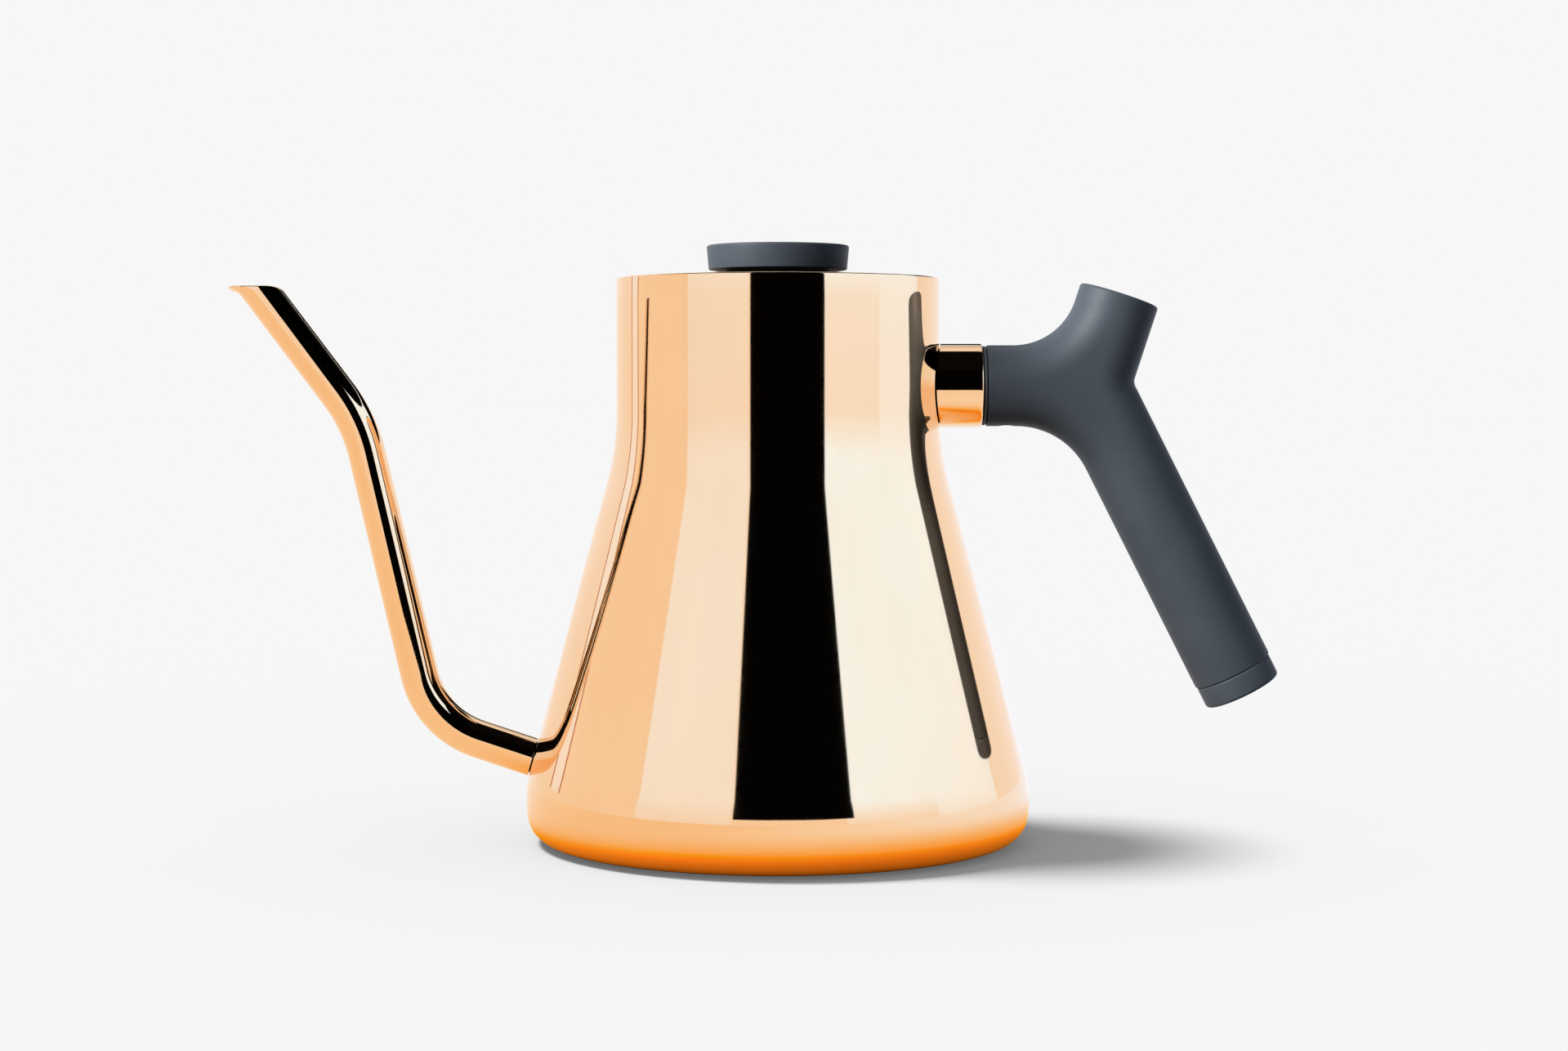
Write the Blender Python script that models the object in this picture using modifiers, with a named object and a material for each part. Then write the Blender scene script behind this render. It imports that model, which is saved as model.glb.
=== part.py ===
"""Gooseneck kettle with a Y-shaped counterweighted handle and a dial thermometer in its lid knob.

Metres, +Z up. The origin is the centre of the base on the floor. The spout points along -X and the
handle along +X, so the XZ plane is the plane of symmetry. Profiles are written as (radius, height).
"""

import math

import bmesh
import bpy
from mathutils import Matrix, Vector

MM = 0.001
GAP = 0.3 * MM

# Body: a spun shell, a cylinder that runs into a cone over a rounded heel
WALL = 1.0 * MM
RIM_RADIUS = 44.8 * MM
RIM_HEIGHT = 156.4 * MM
RIM_EDGE = 0.4 * MM
CONE_ANGLE = math.radians(15.15)
NECK_BLEND_RADIUS = 76.3 * MM
WIDEST_RADIUS = 70.1 * MM
WIDEST_HEIGHT = 12.2 * MM
HEEL_RADIUS = 32.0 * MM
HEEL_END_ANGLE = math.radians(-9.25)
LOWER_HEEL_RADIUS = 8.0 * MM
LID_LEDGE_RADIUS = 42.75 * MM
LID_LEDGE_DROP = 1.8 * MM
LID_LEDGE_DEPTH = 3.3 * MM
BODY_STEPS = 48

# Base: an aluminium core closed in by a magnetic steel cap
FLOOR_THICKNESS = 1.0 * MM
FLOOR_HEIGHT = 4.8 * MM
BASE_RECESS_RADIUS = 58.4 * MM
BASE_CAP_RADIUS = 57.8 * MM
BASE_CAP_WALL = 0.7 * MM
BASE_CAP_EDGE = 0.6 * MM

# Spout: corner points of the tube's centre line, and the radius of each bend
SPOUT_BEND_POINTS = [
    (-58.0 * MM, 19.55 * MM),
    (-97.0 * MM, 32.6 * MM),
    (-116.5 * MM, 116.9 * MM),
    (-148.3 * MM, 159.2 * MM),
]
SPOUT_BEND_RADII = [25.0 * MM, 45.0 * MM]
SPOUT_ROOT_RADIUS = 5.4 * MM
SPOUT_TIP_RADIUS = 5.1 * MM
SPOUT_WALL = 0.8 * MM
SPOUT_MOUTH_HEIGHT = 154.4 * MM
SPOUT_LIP_LENGTH = 11.0 * MM
SPOUT_LIP_FLARE = 1.2 * MM
SPOUT_SIDES_SETTING = 3

# Handle: three round limbs that meet at one point
HANDLE_HEIGHT = 126.8 * MM
HANDLE_NODE_X = 86.7 * MM
LIMB_RADIUS = 10.95 * MM
LIMB_CORE = 0.3 * MM
HORN_ANGLE = math.radians(18.0)
HORN_LENGTH = 26.4 * MM
GRIP_ANGLE = math.radians(26.9)
GRIP_LENGTH = 95.5 * MM
END_CAP_LENGTH = 6.2 * MM
HORN_BLEND_RADIUS = 18.0 * MM
GRIP_BLEND_RADIUS = 22.0 * MM
NOTCH_RADIUS = 3.0 * MM
TANG_RADIUS = 4.5 * MM
TANG_BORE_RADIUS = 4.9 * MM
TANG_END_X = 80.0 * MM
GRIP_BORE_RADIUS = 8.0 * MM
GRIP_BORE_DEPTH = 66.0 * MM
FERRULE_RADIUS = 11.7 * MM
FERRULE_WALL = 1.2 * MM
FERRULE_END_X = 56.5 * MM
WASHER_THICKNESS = 0.8 * MM
WASHER_RADIUS = 11.0 * MM
SET_SCREW_X = 63.5 * MM
SET_SCREW_RADIUS = 2.0 * MM

# Lid: heights here are measured from the rim's plane
LID_PLATE_RADIUS = 43.4 * MM
LID_PLATE_TOP = -0.7 * MM
LID_PLATE_THICKNESS = 0.8 * MM
LID_SKIRT_RADIUS = 41.0 * MM
LID_SKIRT_DEPTH = 12.0 * MM
LID_SEAL_RADIUS = 42.35 * MM
LID_SEAL_HEIGHT = 3.0 * MM
STEAM_HOLE_RADIUS = 1.4 * MM
STEAM_HOLE_CIRCLE = 33.0 * MM
STEAM_HOLE_SPACING = math.radians(14)

# Knob and thermometer, also measured from the rim's plane
KNOB_TOP = 9.2 * MM
KNOB_TOP_RADIUS = 19.8 * MM
KNOB_LOWER_RADIUS = 19.2 * MM
KNOB_LOWER_HEIGHT = 2.55 * MM
KNOB_UNDERSIDE = 1.8 * MM
KNOB_FOOT_RADIUS = 15.5 * MM
KNOB_CUP_RADIUS = 17.5 * MM
KNOB_CUP_FLOOR = 3.4 * MM
KNOB_EDGE = 0.5 * MM
STEM_HOLE_RADIUS = 3.5 * MM
STEM_COLLAR_RADIUS = 3.1 * MM
STEM_RADIUS = 2.4 * MM
STEM_BORE_RADIUS = 1.95 * MM
STEM_LENGTH = 82.0 * MM
NUT_ACROSS_FLATS = 10.0 * MM
NUT_HEIGHT = 3.0 * MM
DIAL_RADIUS = 16.2 * MM
DIAL_HEIGHT = 5.0 * MM
NEEDLE_HEIGHT = 5.9 * MM
NEEDLE_LENGTH = 13.2 * MM
NEEDLE_REST_ANGLE = math.radians(-45)
SPINDLE_RADIUS = 0.5 * MM
COIL_TURNS = 8
COIL_RADIUS = 1.3 * MM
COIL_WIRE_RADIUS = 0.2 * MM
COIL_BOTTOM = -78.0 * MM
COIL_TOP = -44.0 * MM

ROUND_STEPS = 32
SMALL_STEPS = 20

MODEL_COLLECTION = "gooseneck_kettle"
CUTTER_COLLECTION = "cutters"

# Name: (colour, roughness, metallic)
FINISHES = {
    "polished_copper": ((0.93, 0.53, 0.26, 1.0), 0.06, 1.0),
    "stainless_steel": ((0.62, 0.61, 0.59, 1.0), 0.25, 1.0),
    "aluminium": ((0.78, 0.79, 0.80, 1.0), 0.40, 1.0),
    "magnetic_steel": ((0.55, 0.55, 0.55, 1.0), 0.35, 1.0),
    "black_moulding": ((0.035, 0.042, 0.048, 1.0), 0.45, 0.0),
    "silicone": ((0.05, 0.05, 0.05, 1.0), 0.70, 0.0),
    "clear_silicone": ((0.80, 0.80, 0.78, 1.0), 0.50, 0.0),
    "balance_steel": ((0.35, 0.36, 0.37, 1.0), 0.45, 1.0),
    "brass": ((0.80, 0.62, 0.30, 1.0), 0.30, 1.0),
    "dial_enamel": ((0.90, 0.90, 0.88, 1.0), 0.50, 0.0),
    "needle_paint": ((0.80, 0.12, 0.06, 1.0), 0.40, 0.0),
    "dial_glass": ((0.95, 0.97, 0.98, 1.0), 0.02, 0.0),
}


# Scene set-up


def clear_scene():
    for obj in list(bpy.data.objects):
        bpy.data.objects.remove(obj, do_unlink=True)


def make_collection(name, hidden):
    collection = bpy.data.collections.new(name)
    bpy.context.scene.collection.children.link(collection)
    collection.hide_render = hidden
    return collection


def make_materials():
    for name, (colour, roughness, metallic) in FINISHES.items():
        material = bpy.data.materials.new(name)
        material.use_nodes = True
        material.diffuse_color = colour
        shader = material.node_tree.nodes["Principled BSDF"]
        shader.inputs["Base Color"].default_value = colour
        shader.inputs["Roughness"].default_value = roughness
        shader.inputs["Metallic"].default_value = metallic


def add_empty(name, location, rotation=(0.0, 0.0, 0.0)):
    empty = bpy.data.objects.new(name, None)
    empty.location = location
    empty.rotation_euler = rotation
    empty.empty_display_size = 10 * MM
    bpy.data.collections[MODEL_COLLECTION].objects.link(empty)
    return empty


def add_object(name, data, finish, parent=None):
    """A part of the kettle in one of the finishes."""
    obj = bpy.data.objects.new(name, data)
    bpy.data.collections[MODEL_COLLECTION].objects.link(obj)
    data.materials.append(bpy.data.materials[finish])
    obj.parent = parent
    return obj


def add_cutter(name, data, parent=None):
    obj = bpy.data.objects.new(name, data)
    bpy.data.collections[CUTTER_COLLECTION].objects.link(obj)
    obj.hide_render = True
    obj.display_type = "WIRE"
    obj.parent = parent
    return obj


# Modelling helpers


def arc(centre, radius, start, end, pieces):
    """Points of an arc in the profile plane, its angles measured up from the outward direction."""
    angles = [start + (end - start) * i / pieces for i in range(pieces + 1)]
    return [
        (centre[0] + radius * math.cos(a), centre[1] + radius * math.sin(a))
        for a in angles
    ]


def bend(corner, before, after, radius, pieces):
    """The points of a corner rounded to a radius, on a path in one plane."""
    corner = Vector(corner)
    to_before = (Vector(before) - corner).normalized()
    to_after = (Vector(after) - corner).normalized()
    half = to_before.angle(to_after) / 2
    centre = corner + (to_before + to_after).normalized() * radius / math.sin(half)
    reach = radius / math.tan(half)
    start = corner + to_before * reach - centre
    end = corner + to_after * reach - centre
    turn = start.angle_signed(end)
    points = []
    for i in range(pieces + 1):
        angle = -turn * i / pieces
        cosine = math.cos(angle)
        sine = math.sin(angle)
        points.append(
            (
                centre.x + start.x * cosine - start.y * sine,
                centre.y + start.x * sine + start.y * cosine,
            )
        )
    return points


def profile_mesh(name, points, closed):
    """A turned profile in the XZ plane as loose edges."""
    mesh = bpy.data.meshes.new(name)
    edges = [(i, i + 1) for i in range(len(points) - 1)]
    if closed:
        edges.append((len(points) - 1, 0))
    mesh.from_pydata([(r, 0.0, z) for r, z in points], edges, [])
    return mesh


def turn(obj, steps):
    """Screw the object's profile once round Z."""
    screw = obj.modifiers.new("Turn", "SCREW")
    screw.steps = steps
    screw.render_steps = steps
    screw.use_merge_vertices = True
    screw.merge_threshold = 0.000001
    screw.use_smooth_shade = True


def turned_part(name, points, finish, steps=ROUND_STEPS, closed=True, parent=None):
    obj = add_object(name, profile_mesh(name, points, closed), finish, parent)
    turn(obj, steps)
    return obj


def turned_cutter(name, points, steps=ROUND_STEPS, parent=None):
    obj = add_cutter(name, profile_mesh(name, points, closed=False), parent)
    turn(obj, steps)
    return obj


def rod_profile(radius, bottom, top, edge=0.0):
    """The outline of a solid round bar, its end edges rounded off when edge isn't 0."""
    if edge == 0.0:
        return [(0.0, top), (radius, top), (radius, bottom), (0.0, bottom)]
    upper = arc((radius - edge, top - edge), edge, math.pi / 2, 0.0, 3)
    lower = arc((radius - edge, bottom + edge), edge, 0.0, -math.pi / 2, 3)
    return [(0.0, top)] + upper + lower + [(0.0, bottom)]


def ring_profile(inner, outer, bottom, top):
    return [(inner, top), (outer, top), (outer, bottom), (inner, bottom)]


def tube_mesh(name, points, radii, sides_setting):
    """A solid round bar along a path in the XZ plane, made from a curve and welded shut."""
    curve = bpy.data.curves.new(name, "CURVE")
    curve.dimensions = "3D"
    curve.bevel_depth = 1.0
    curve.bevel_resolution = sides_setting
    curve.use_fill_caps = True
    spline = curve.splines.new("POLY")
    spline.points.add(len(points) - 1)
    for spline_point, (x, z), radius in zip(spline.points, points, radii):
        spline_point.co = (x, 0.0, z, 1.0)
        spline_point.radius = radius
    return mesh_of_curve(name, curve)


def mesh_of_curve(name, curve):
    """The evaluated curve as a closed mesh; the curve itself is removed."""
    guide = bpy.data.objects.new(name + "_guide", curve)
    bpy.context.scene.collection.objects.link(guide)
    graph = bpy.context.evaluated_depsgraph_get()
    mesh = bpy.data.meshes.new_from_object(guide.evaluated_get(graph))
    mesh.name = name
    mesh.materials.clear()
    cage = bmesh.new()
    cage.from_mesh(mesh)
    bmesh.ops.remove_doubles(cage, verts=cage.verts, dist=0.000002)
    bmesh.ops.recalc_face_normals(cage, faces=cage.faces)
    cage.to_mesh(mesh)
    cage.free()
    mesh.shade_smooth()
    bpy.data.objects.remove(guide, do_unlink=True)
    bpy.data.curves.remove(curve)
    return mesh


def box_cutter(name, low, high, parent=None):
    mesh = bpy.data.meshes.new(name)
    cage = bmesh.new()
    bmesh.ops.create_cube(cage, size=1.0)
    size = Vector(high) - Vector(low)
    centre = (Vector(high) + Vector(low)) / 2
    bmesh.ops.scale(cage, vec=size, verts=cage.verts)
    bmesh.ops.translate(cage, vec=centre, verts=cage.verts)
    cage.to_mesh(mesh)
    cage.free()
    return add_cutter(name, mesh, parent)


def cut(obj, cutter):
    boolean = obj.modifiers.new("Cut " + cutter.name, "BOOLEAN")
    boolean.operation = "DIFFERENCE"
    boolean.object = cutter


def join(obj, other):
    boolean = obj.modifiers.new("Join " + other.name, "BOOLEAN")
    boolean.operation = "UNION"
    boolean.object = other


# Body and base


def body_outline(offset, lowest_angle=-math.pi / 2):
    """The body's side from the top of its neck blend down to the heel, moved outwards by offset."""
    heel_centre = (WIDEST_RADIUS - HEEL_RADIUS, WIDEST_HEIGHT)
    reach = HEEL_RADIUS - LOWER_HEEL_RADIUS
    lower_centre = (
        heel_centre[0] + reach * math.cos(HEEL_END_ANGLE),
        heel_centre[1] + reach * math.sin(HEEL_END_ANGLE),
    )
    cone_foot_radius = heel_centre[0] + HEEL_RADIUS * math.cos(CONE_ANGLE)
    cone_foot_height = heel_centre[1] + HEEL_RADIUS * math.sin(CONE_ANGLE)
    cone_top_radius = RIM_RADIUS + NECK_BLEND_RADIUS * (1 - math.cos(CONE_ANGLE))
    cone_rise = (cone_foot_radius - cone_top_radius) / math.tan(CONE_ANGLE)
    blend_top = cone_foot_height + cone_rise + NECK_BLEND_RADIUS * math.sin(CONE_ANGLE)
    neck_centre = (RIM_RADIUS + NECK_BLEND_RADIUS, blend_top)
    neck = arc(
        neck_centre, NECK_BLEND_RADIUS - offset, math.pi, math.pi + CONE_ANGLE, 5
    )
    heel = arc(heel_centre, HEEL_RADIUS + offset, CONE_ANGLE, HEEL_END_ANGLE, 5)
    lower_heel = arc(
        lower_centre, LOWER_HEEL_RADIUS + offset, HEEL_END_ANGLE, lowest_angle, 7
    )
    return neck + heel + lower_heel[1:]


def body_profile():
    """Up the inside from the middle of the floor, over the rim and down the outside."""
    inner_radius = RIM_RADIUS - WALL
    ledge_top = RIM_HEIGHT - LID_LEDGE_DROP
    ledge_bottom = ledge_top - LID_LEDGE_DEPTH
    ledge_foot = ledge_bottom - (inner_radius - LID_LEDGE_RADIUS)
    inside = [p for p in body_outline(-WALL) if p[1] > FLOOR_HEIGHT + WALL]
    floor_edge = (inside[-1][0] - WALL, FLOOR_HEIGHT)
    rim = [
        (inner_radius, ledge_foot),
        (LID_LEDGE_RADIUS, ledge_bottom),
        (LID_LEDGE_RADIUS, ledge_top),
        (inner_radius, ledge_top),
    ]
    rim += arc(
        (inner_radius + RIM_EDGE, RIM_HEIGHT - RIM_EDGE),
        RIM_EDGE,
        math.pi,
        math.pi / 2,
        2,
    )
    rim += arc(
        (RIM_RADIUS - RIM_EDGE, RIM_HEIGHT - RIM_EDGE), RIM_EDGE, math.pi / 2, 0.0, 2
    )
    outside = body_outline(0.0)
    recess_roof = FLOOR_HEIGHT - FLOOR_THICKNESS
    bottom = [
        (BASE_RECESS_RADIUS + RIM_EDGE, outside[-1][1]),
        (BASE_RECESS_RADIUS, outside[-1][1] + RIM_EDGE),
        (BASE_RECESS_RADIUS, recess_roof),
        (0.0, recess_roof),
    ]
    return [(0.0, FLOOR_HEIGHT), floor_edge] + inside[::-1] + rim + outside + bottom


def body_clearance():
    """The body's outside grown by the assembly gap: whatever meets the wall is coped with it."""
    side = body_outline(GAP)
    top = RIM_HEIGHT + 10 * MM
    points = [(0.0, top), (RIM_RADIUS + GAP, top)] + side + [(0.0, side[-1][1])]
    return turned_cutter("body_clearance", points, BODY_STEPS)


def build_body(spout_bore):
    body = turned_part(
        "kettle_body", body_profile(), "polished_copper", BODY_STEPS, closed=False
    )
    cut(body, spout_bore)


def build_base():
    inner_radius = BASE_CAP_RADIUS - BASE_CAP_WALL
    wall_top = FLOOR_HEIGHT - FLOOR_THICKNESS - GAP
    cap = [(0.0, BASE_CAP_WALL), (inner_radius, BASE_CAP_WALL)]
    cap += [(inner_radius, wall_top), (BASE_CAP_RADIUS, wall_top)]
    cap += arc(
        (BASE_CAP_RADIUS - BASE_CAP_EDGE, BASE_CAP_EDGE),
        BASE_CAP_EDGE,
        0.0,
        -math.pi / 2,
        3,
    )
    cap += [(0.0, 0.0)]
    turned_part("base_cap", cap, "magnetic_steel", BODY_STEPS, closed=False)
    core = rod_profile(inner_radius - GAP, BASE_CAP_WALL + GAP, wall_top)
    turned_part("base_core", core, "aluminium", BODY_STEPS, closed=False)


# Spout


def spout_path():
    """The centre line from inside the body to past the mouth, rounded at its two bends."""
    root, lower, upper, tip = SPOUT_BEND_POINTS
    points = [root]
    points += bend(lower, root, upper, SPOUT_BEND_RADII[0], 9)
    points += bend(upper, lower, tip, SPOUT_BEND_RADII[1], 6)
    lip_start = Vector(tip) + (Vector(upper) - Vector(tip)).normalized() * (
        SPOUT_LIP_LENGTH
    )
    points += [tuple(lip_start), tip]
    return points


def spout_radii(points, inset):
    """The tube narrows evenly from root to lip and opens a little over the lip."""
    count = len(points) - 2
    radii = []
    for i in range(count + 1):
        share = i / count
        radii.append(
            SPOUT_ROOT_RADIUS + (SPOUT_TIP_RADIUS - SPOUT_ROOT_RADIUS) * share - inset
        )
    return radii + [radii[-1] + SPOUT_LIP_FLARE]


def spout_bore_cutter():
    """The inside of the tube, run on into the body and up past the mouth."""
    path = spout_path()
    radii = spout_radii(path, SPOUT_WALL)
    mesh = tube_mesh("spout_bore", path, radii, SPOUT_SIDES_SETTING)
    return add_cutter("spout_bore", mesh)


def build_spout(clearance, bore):
    path = spout_path()
    # The solid tube stops short of the bore cutter at both ends, so the bore always breaks out.
    first = Vector(path[0]).lerp(Vector(path[1]), 0.1)
    last = Vector(path[-1]).lerp(Vector(path[-2]), 0.1)
    solid_path = [tuple(first)] + path[1:-1] + [tuple(last)]
    mesh = tube_mesh(
        "spout_tube", solid_path, spout_radii(path, 0.0), SPOUT_SIDES_SETTING
    )
    spout = add_object("spout_tube", mesh, "polished_copper")
    above_mouth = box_cutter(
        "above_spout_mouth",
        (-170 * MM, -20 * MM, SPOUT_MOUTH_HEIGHT),
        (-120 * MM, 20 * MM, SPOUT_MOUTH_HEIGHT + 20 * MM),
    )
    cut(spout, above_mouth)
    cut(spout, bore)
    cut(spout, clearance)


def build_flow_restrictor():
    """A ring pressed into the root of the spout, which slows and steadies the pour."""
    root = Vector(SPOUT_BEND_POINTS[0])
    along = (Vector(SPOUT_BEND_POINTS[1]) - root).normalized()
    place = root + along * 15 * MM
    axis = add_empty(
        "spout_root_axis",
        (place.x, 0.0, place.y),
        (0.0, math.atan2(along.x, along.y), 0.0),
    )
    outer = SPOUT_ROOT_RADIUS - SPOUT_WALL - 0.35 * MM
    ring = ring_profile(2.4 * MM, outer, 0.0, 6.0 * MM)
    turned_part(
        "flow_restrictor", ring, "stainless_steel", SMALL_STEPS, closed=True, parent=axis
    )


# Handle


def handle_directions():
    """The node where the limbs meet, and the directions of the horn and the grip, as (x, z)."""
    node = Vector((HANDLE_NODE_X, HANDLE_HEIGHT))
    horn = Vector((math.sin(HORN_ANGLE), math.cos(HORN_ANGLE)))
    grip = Vector((math.sin(GRIP_ANGLE), -math.cos(GRIP_ANGLE)))
    return node, horn, grip


def web_edge(node, before, after, blend_radius, pieces):
    """The rounded inner corner between two limbs of the flat middle."""
    half = before.angle(after) / 2
    corner = node + (before + after).normalized() * LIMB_CORE / math.sin(half)
    reach = 100 * MM
    radius = blend_radius + LIMB_RADIUS
    path = bend(corner, corner + before * reach, corner + after * reach, radius, pieces)
    return [Vector(point) for point in path]


def handle_outline():
    """The flat middle of the Y: three thin arms with webs between them.

    Rounding it out by the limbs' radius gives the moulding, so each inner corner here is the
    blend's radius plus the limb's.
    """
    node, horn, grip = handle_directions()
    neck = Vector((-1.0, 0.0))
    across = LIMB_CORE
    past = 6 * MM
    neck_end = node + neck * (HANDLE_NODE_X - FERRULE_END_X + past)
    horn_end = node + horn * (HORN_LENGTH + past)
    grip_end = node + grip * (GRIP_LENGTH + past)
    horn_side = Vector((horn.y, -horn.x)) * across
    grip_side = Vector((-grip.y, grip.x)) * across
    neck_side = Vector((0.0, across))
    top_corner = web_edge(node, neck, horn, HORN_BLEND_RADIUS, 8)
    notch = web_edge(node, horn, grip, NOTCH_RADIUS, 4)
    low_corner = web_edge(node, grip, neck, GRIP_BLEND_RADIUS, 8)
    points = [neck_end + neck_side]
    points += top_corner
    points += [horn_end - horn_side, horn_end + horn_side]
    points += notch
    points += [grip_end + grip_side, grip_end - grip_side]
    points += low_corner
    points += [neck_end - neck_side]
    return points


def rounded_outline_mesh(name, outline, radius, sides_setting):
    """A flat outline in the XZ plane, rounded out all the way by radius."""
    curve = bpy.data.curves.new(name, "CURVE")
    curve.dimensions = "2D"
    curve.fill_mode = "BOTH"
    curve.bevel_depth = radius
    curve.bevel_resolution = sides_setting
    spline = curve.splines.new("POLY")
    spline.points.add(len(outline) - 1)
    for spline_point, point in zip(spline.points, outline):
        spline_point.co = (point.x, point.y, 0.0, 1.0)
    spline.use_cyclic_u = True
    mesh = mesh_of_curve(name, curve)
    mesh.transform(Matrix.Rotation(math.radians(90), 4, "X"))
    return mesh


def limb_end_cutter(name, axis, start):
    """A block that trims a limb square at a distance along its axis."""
    half = 40 * MM
    return box_cutter(name, (-half, -half, start), (half, half, start + half), axis)


def build_handle_moulding(neck_axis, horn_axis, grip_axis):
    mesh = rounded_outline_mesh("handle_moulding", handle_outline(), LIMB_RADIUS, 4)
    moulding = add_object("handle_moulding", mesh, "black_moulding")
    washer_end = FERRULE_END_X + GAP + WASHER_THICKNESS + GAP
    neck_trim = HANDLE_NODE_X - washer_end
    cut(moulding, limb_end_cutter("trim_horn", horn_axis, HORN_LENGTH))
    grip_end = GRIP_LENGTH - END_CAP_LENGTH - GAP
    cut(moulding, limb_end_cutter("trim_grip", grip_axis, grip_end))
    cut(moulding, limb_end_cutter("trim_neck", neck_axis, neck_trim))
    bore = rod_profile(GRIP_BORE_RADIUS, grip_end - GRIP_BORE_DEPTH, grip_end + 20 * MM)
    cut(moulding, turned_cutter("grip_bore", bore, SMALL_STEPS, grip_axis))
    tang_bottom = HANDLE_NODE_X - TANG_END_X - GAP
    tang_bore = rod_profile(TANG_BORE_RADIUS, tang_bottom, neck_trim + 20 * MM)
    cut(moulding, turned_cutter("tang_bore", tang_bore, SMALL_STEPS, neck_axis))
    screw_hole = rod_profile(
        SET_SCREW_RADIUS + GAP, -LIMB_RADIUS - 5 * MM, -TANG_RADIUS + 2 * MM
    )
    hole_axis = add_empty("set_screw_axis", (SET_SCREW_X, 0.0, HANDLE_HEIGHT))
    cut(moulding, turned_cutter("screw_hole", screw_hole, SMALL_STEPS, hole_axis))
    return hole_axis


def build_set_screw(hole_axis):
    """The headless screw in the underside of the neck that locks the moulding to the tang."""
    screw = rod_profile(
        SET_SCREW_RADIUS, -LIMB_RADIUS + 0.4 * MM, -TANG_RADIUS - GAP, 0.3 * MM
    )
    turned_part(
        "handle_set_screw", screw, "stainless_steel", SMALL_STEPS, False, hole_axis
    )
    obj = bpy.data.objects["handle_set_screw"]
    half = 0.9 * MM
    low = (-half, -half, -LIMB_RADIUS - 2 * MM)
    high = (half, half, -LIMB_RADIUS + 2.4 * MM)
    cut(obj, box_cutter("screw_key_socket", low, high, hole_axis))


def build_handle_fixing(neck_axis, clearance):
    """The boss on the wall, the tang that it carries, the ferrule over it and the washer."""
    wall = HANDLE_NODE_X - RIM_RADIUS
    ferrule_end = HANDLE_NODE_X - FERRULE_END_X
    behind_wall = wall + 6 * MM
    ferrule = ring_profile(
        FERRULE_RADIUS - FERRULE_WALL, FERRULE_RADIUS, ferrule_end, behind_wall
    )
    coped = turned_part(
        "handle_ferrule", ferrule, "polished_copper", ROUND_STEPS, True, neck_axis
    )
    cut(coped, clearance)
    boss_outer = 8.4 * MM
    socket_floor = wall - 2.5 * MM
    boss = [(0.0, behind_wall), (boss_outer, behind_wall)]
    boss += [(boss_outer, ferrule_end + 1 * MM), (TANG_BORE_RADIUS, ferrule_end + 1 * MM)]
    boss += [(TANG_BORE_RADIUS, socket_floor), (0.0, socket_floor)]
    coped = turned_part(
        "handle_boss", boss, "stainless_steel", ROUND_STEPS, False, neck_axis
    )
    cut(coped, clearance)
    tang = rod_profile(
        TANG_RADIUS, HANDLE_NODE_X - TANG_END_X, socket_floor - GAP, 0.6 * MM
    )
    turned_part("handle_tang", tang, "stainless_steel", SMALL_STEPS, False, neck_axis)
    washer_top = ferrule_end - GAP
    washer = ring_profile(
        TANG_BORE_RADIUS, WASHER_RADIUS, washer_top - WASHER_THICKNESS, washer_top
    )
    turned_part("ferrule_washer", washer, "silicone", ROUND_STEPS, True, neck_axis)


def build_grip_end(grip_axis):
    """The counterweight in the grip, its sleeve, and the cap with its O-ring."""
    cap_start = GRIP_LENGTH - END_CAP_LENGTH
    cap_edge = 1.0 * MM
    spigot_radius = 6.2 * MM
    spigot_start = cap_start - 9.0 * MM
    lip_radius = 7.6 * MM
    cap = [(0.0, GRIP_LENGTH)]
    cap += arc(
        (LIMB_RADIUS - cap_edge, GRIP_LENGTH - cap_edge), cap_edge, math.pi / 2, 0.0, 3
    )
    cap += [(LIMB_RADIUS, cap_start), (lip_radius, cap_start)]
    cap += [(lip_radius, cap_start - 2.5 * MM), (spigot_radius, cap_start - 2.5 * MM)]
    cap += [(spigot_radius, spigot_start + 2.0 * MM), (lip_radius, spigot_start + 2.0 * MM)]
    cap += [(lip_radius, spigot_start), (0.0, spigot_start)]
    turned_part("grip_end_cap", cap, "black_moulding", ROUND_STEPS, False, grip_axis)
    ring_centre = (6.2 * MM + GAP + 0.6 * MM, cap_start - 4.75 * MM)
    ring = arc(ring_centre, 0.6 * MM, math.pi, -math.pi, 8)[:-1]
    turned_part("end_cap_o_ring", ring, "silicone", SMALL_STEPS, True, grip_axis)
    weight_end = spigot_start - 1.0 * MM
    weight_start = cap_start - GAP - GRIP_BORE_DEPTH + 1.0 * MM
    weight = rod_profile(6.2 * MM, weight_start, weight_end, 0.8 * MM)
    turned_part("balance_weight", weight, "balance_steel", SMALL_STEPS, False, grip_axis)
    sleeve = ring_profile(
        6.2 * MM + GAP, GRIP_BORE_RADIUS - GAP, weight_start + 4 * MM, weight_end - 4 * MM
    )
    turned_part("weight_sleeve", sleeve, "silicone", SMALL_STEPS, True, grip_axis)


def build_handle(clearance):
    node = (HANDLE_NODE_X, 0.0, HANDLE_HEIGHT)
    neck_axis = add_empty("handle_neck_axis", node, (0.0, math.radians(-90), 0.0))
    horn_axis = add_empty("handle_horn_axis", node, (0.0, HORN_ANGLE, 0.0))
    grip_axis = add_empty("handle_grip_axis", node, (0.0, math.pi - GRIP_ANGLE, 0.0))
    hole_axis = build_handle_moulding(neck_axis, horn_axis, grip_axis)
    build_set_screw(hole_axis)
    build_handle_fixing(neck_axis, clearance)
    build_grip_end(grip_axis)


# Lid


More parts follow.
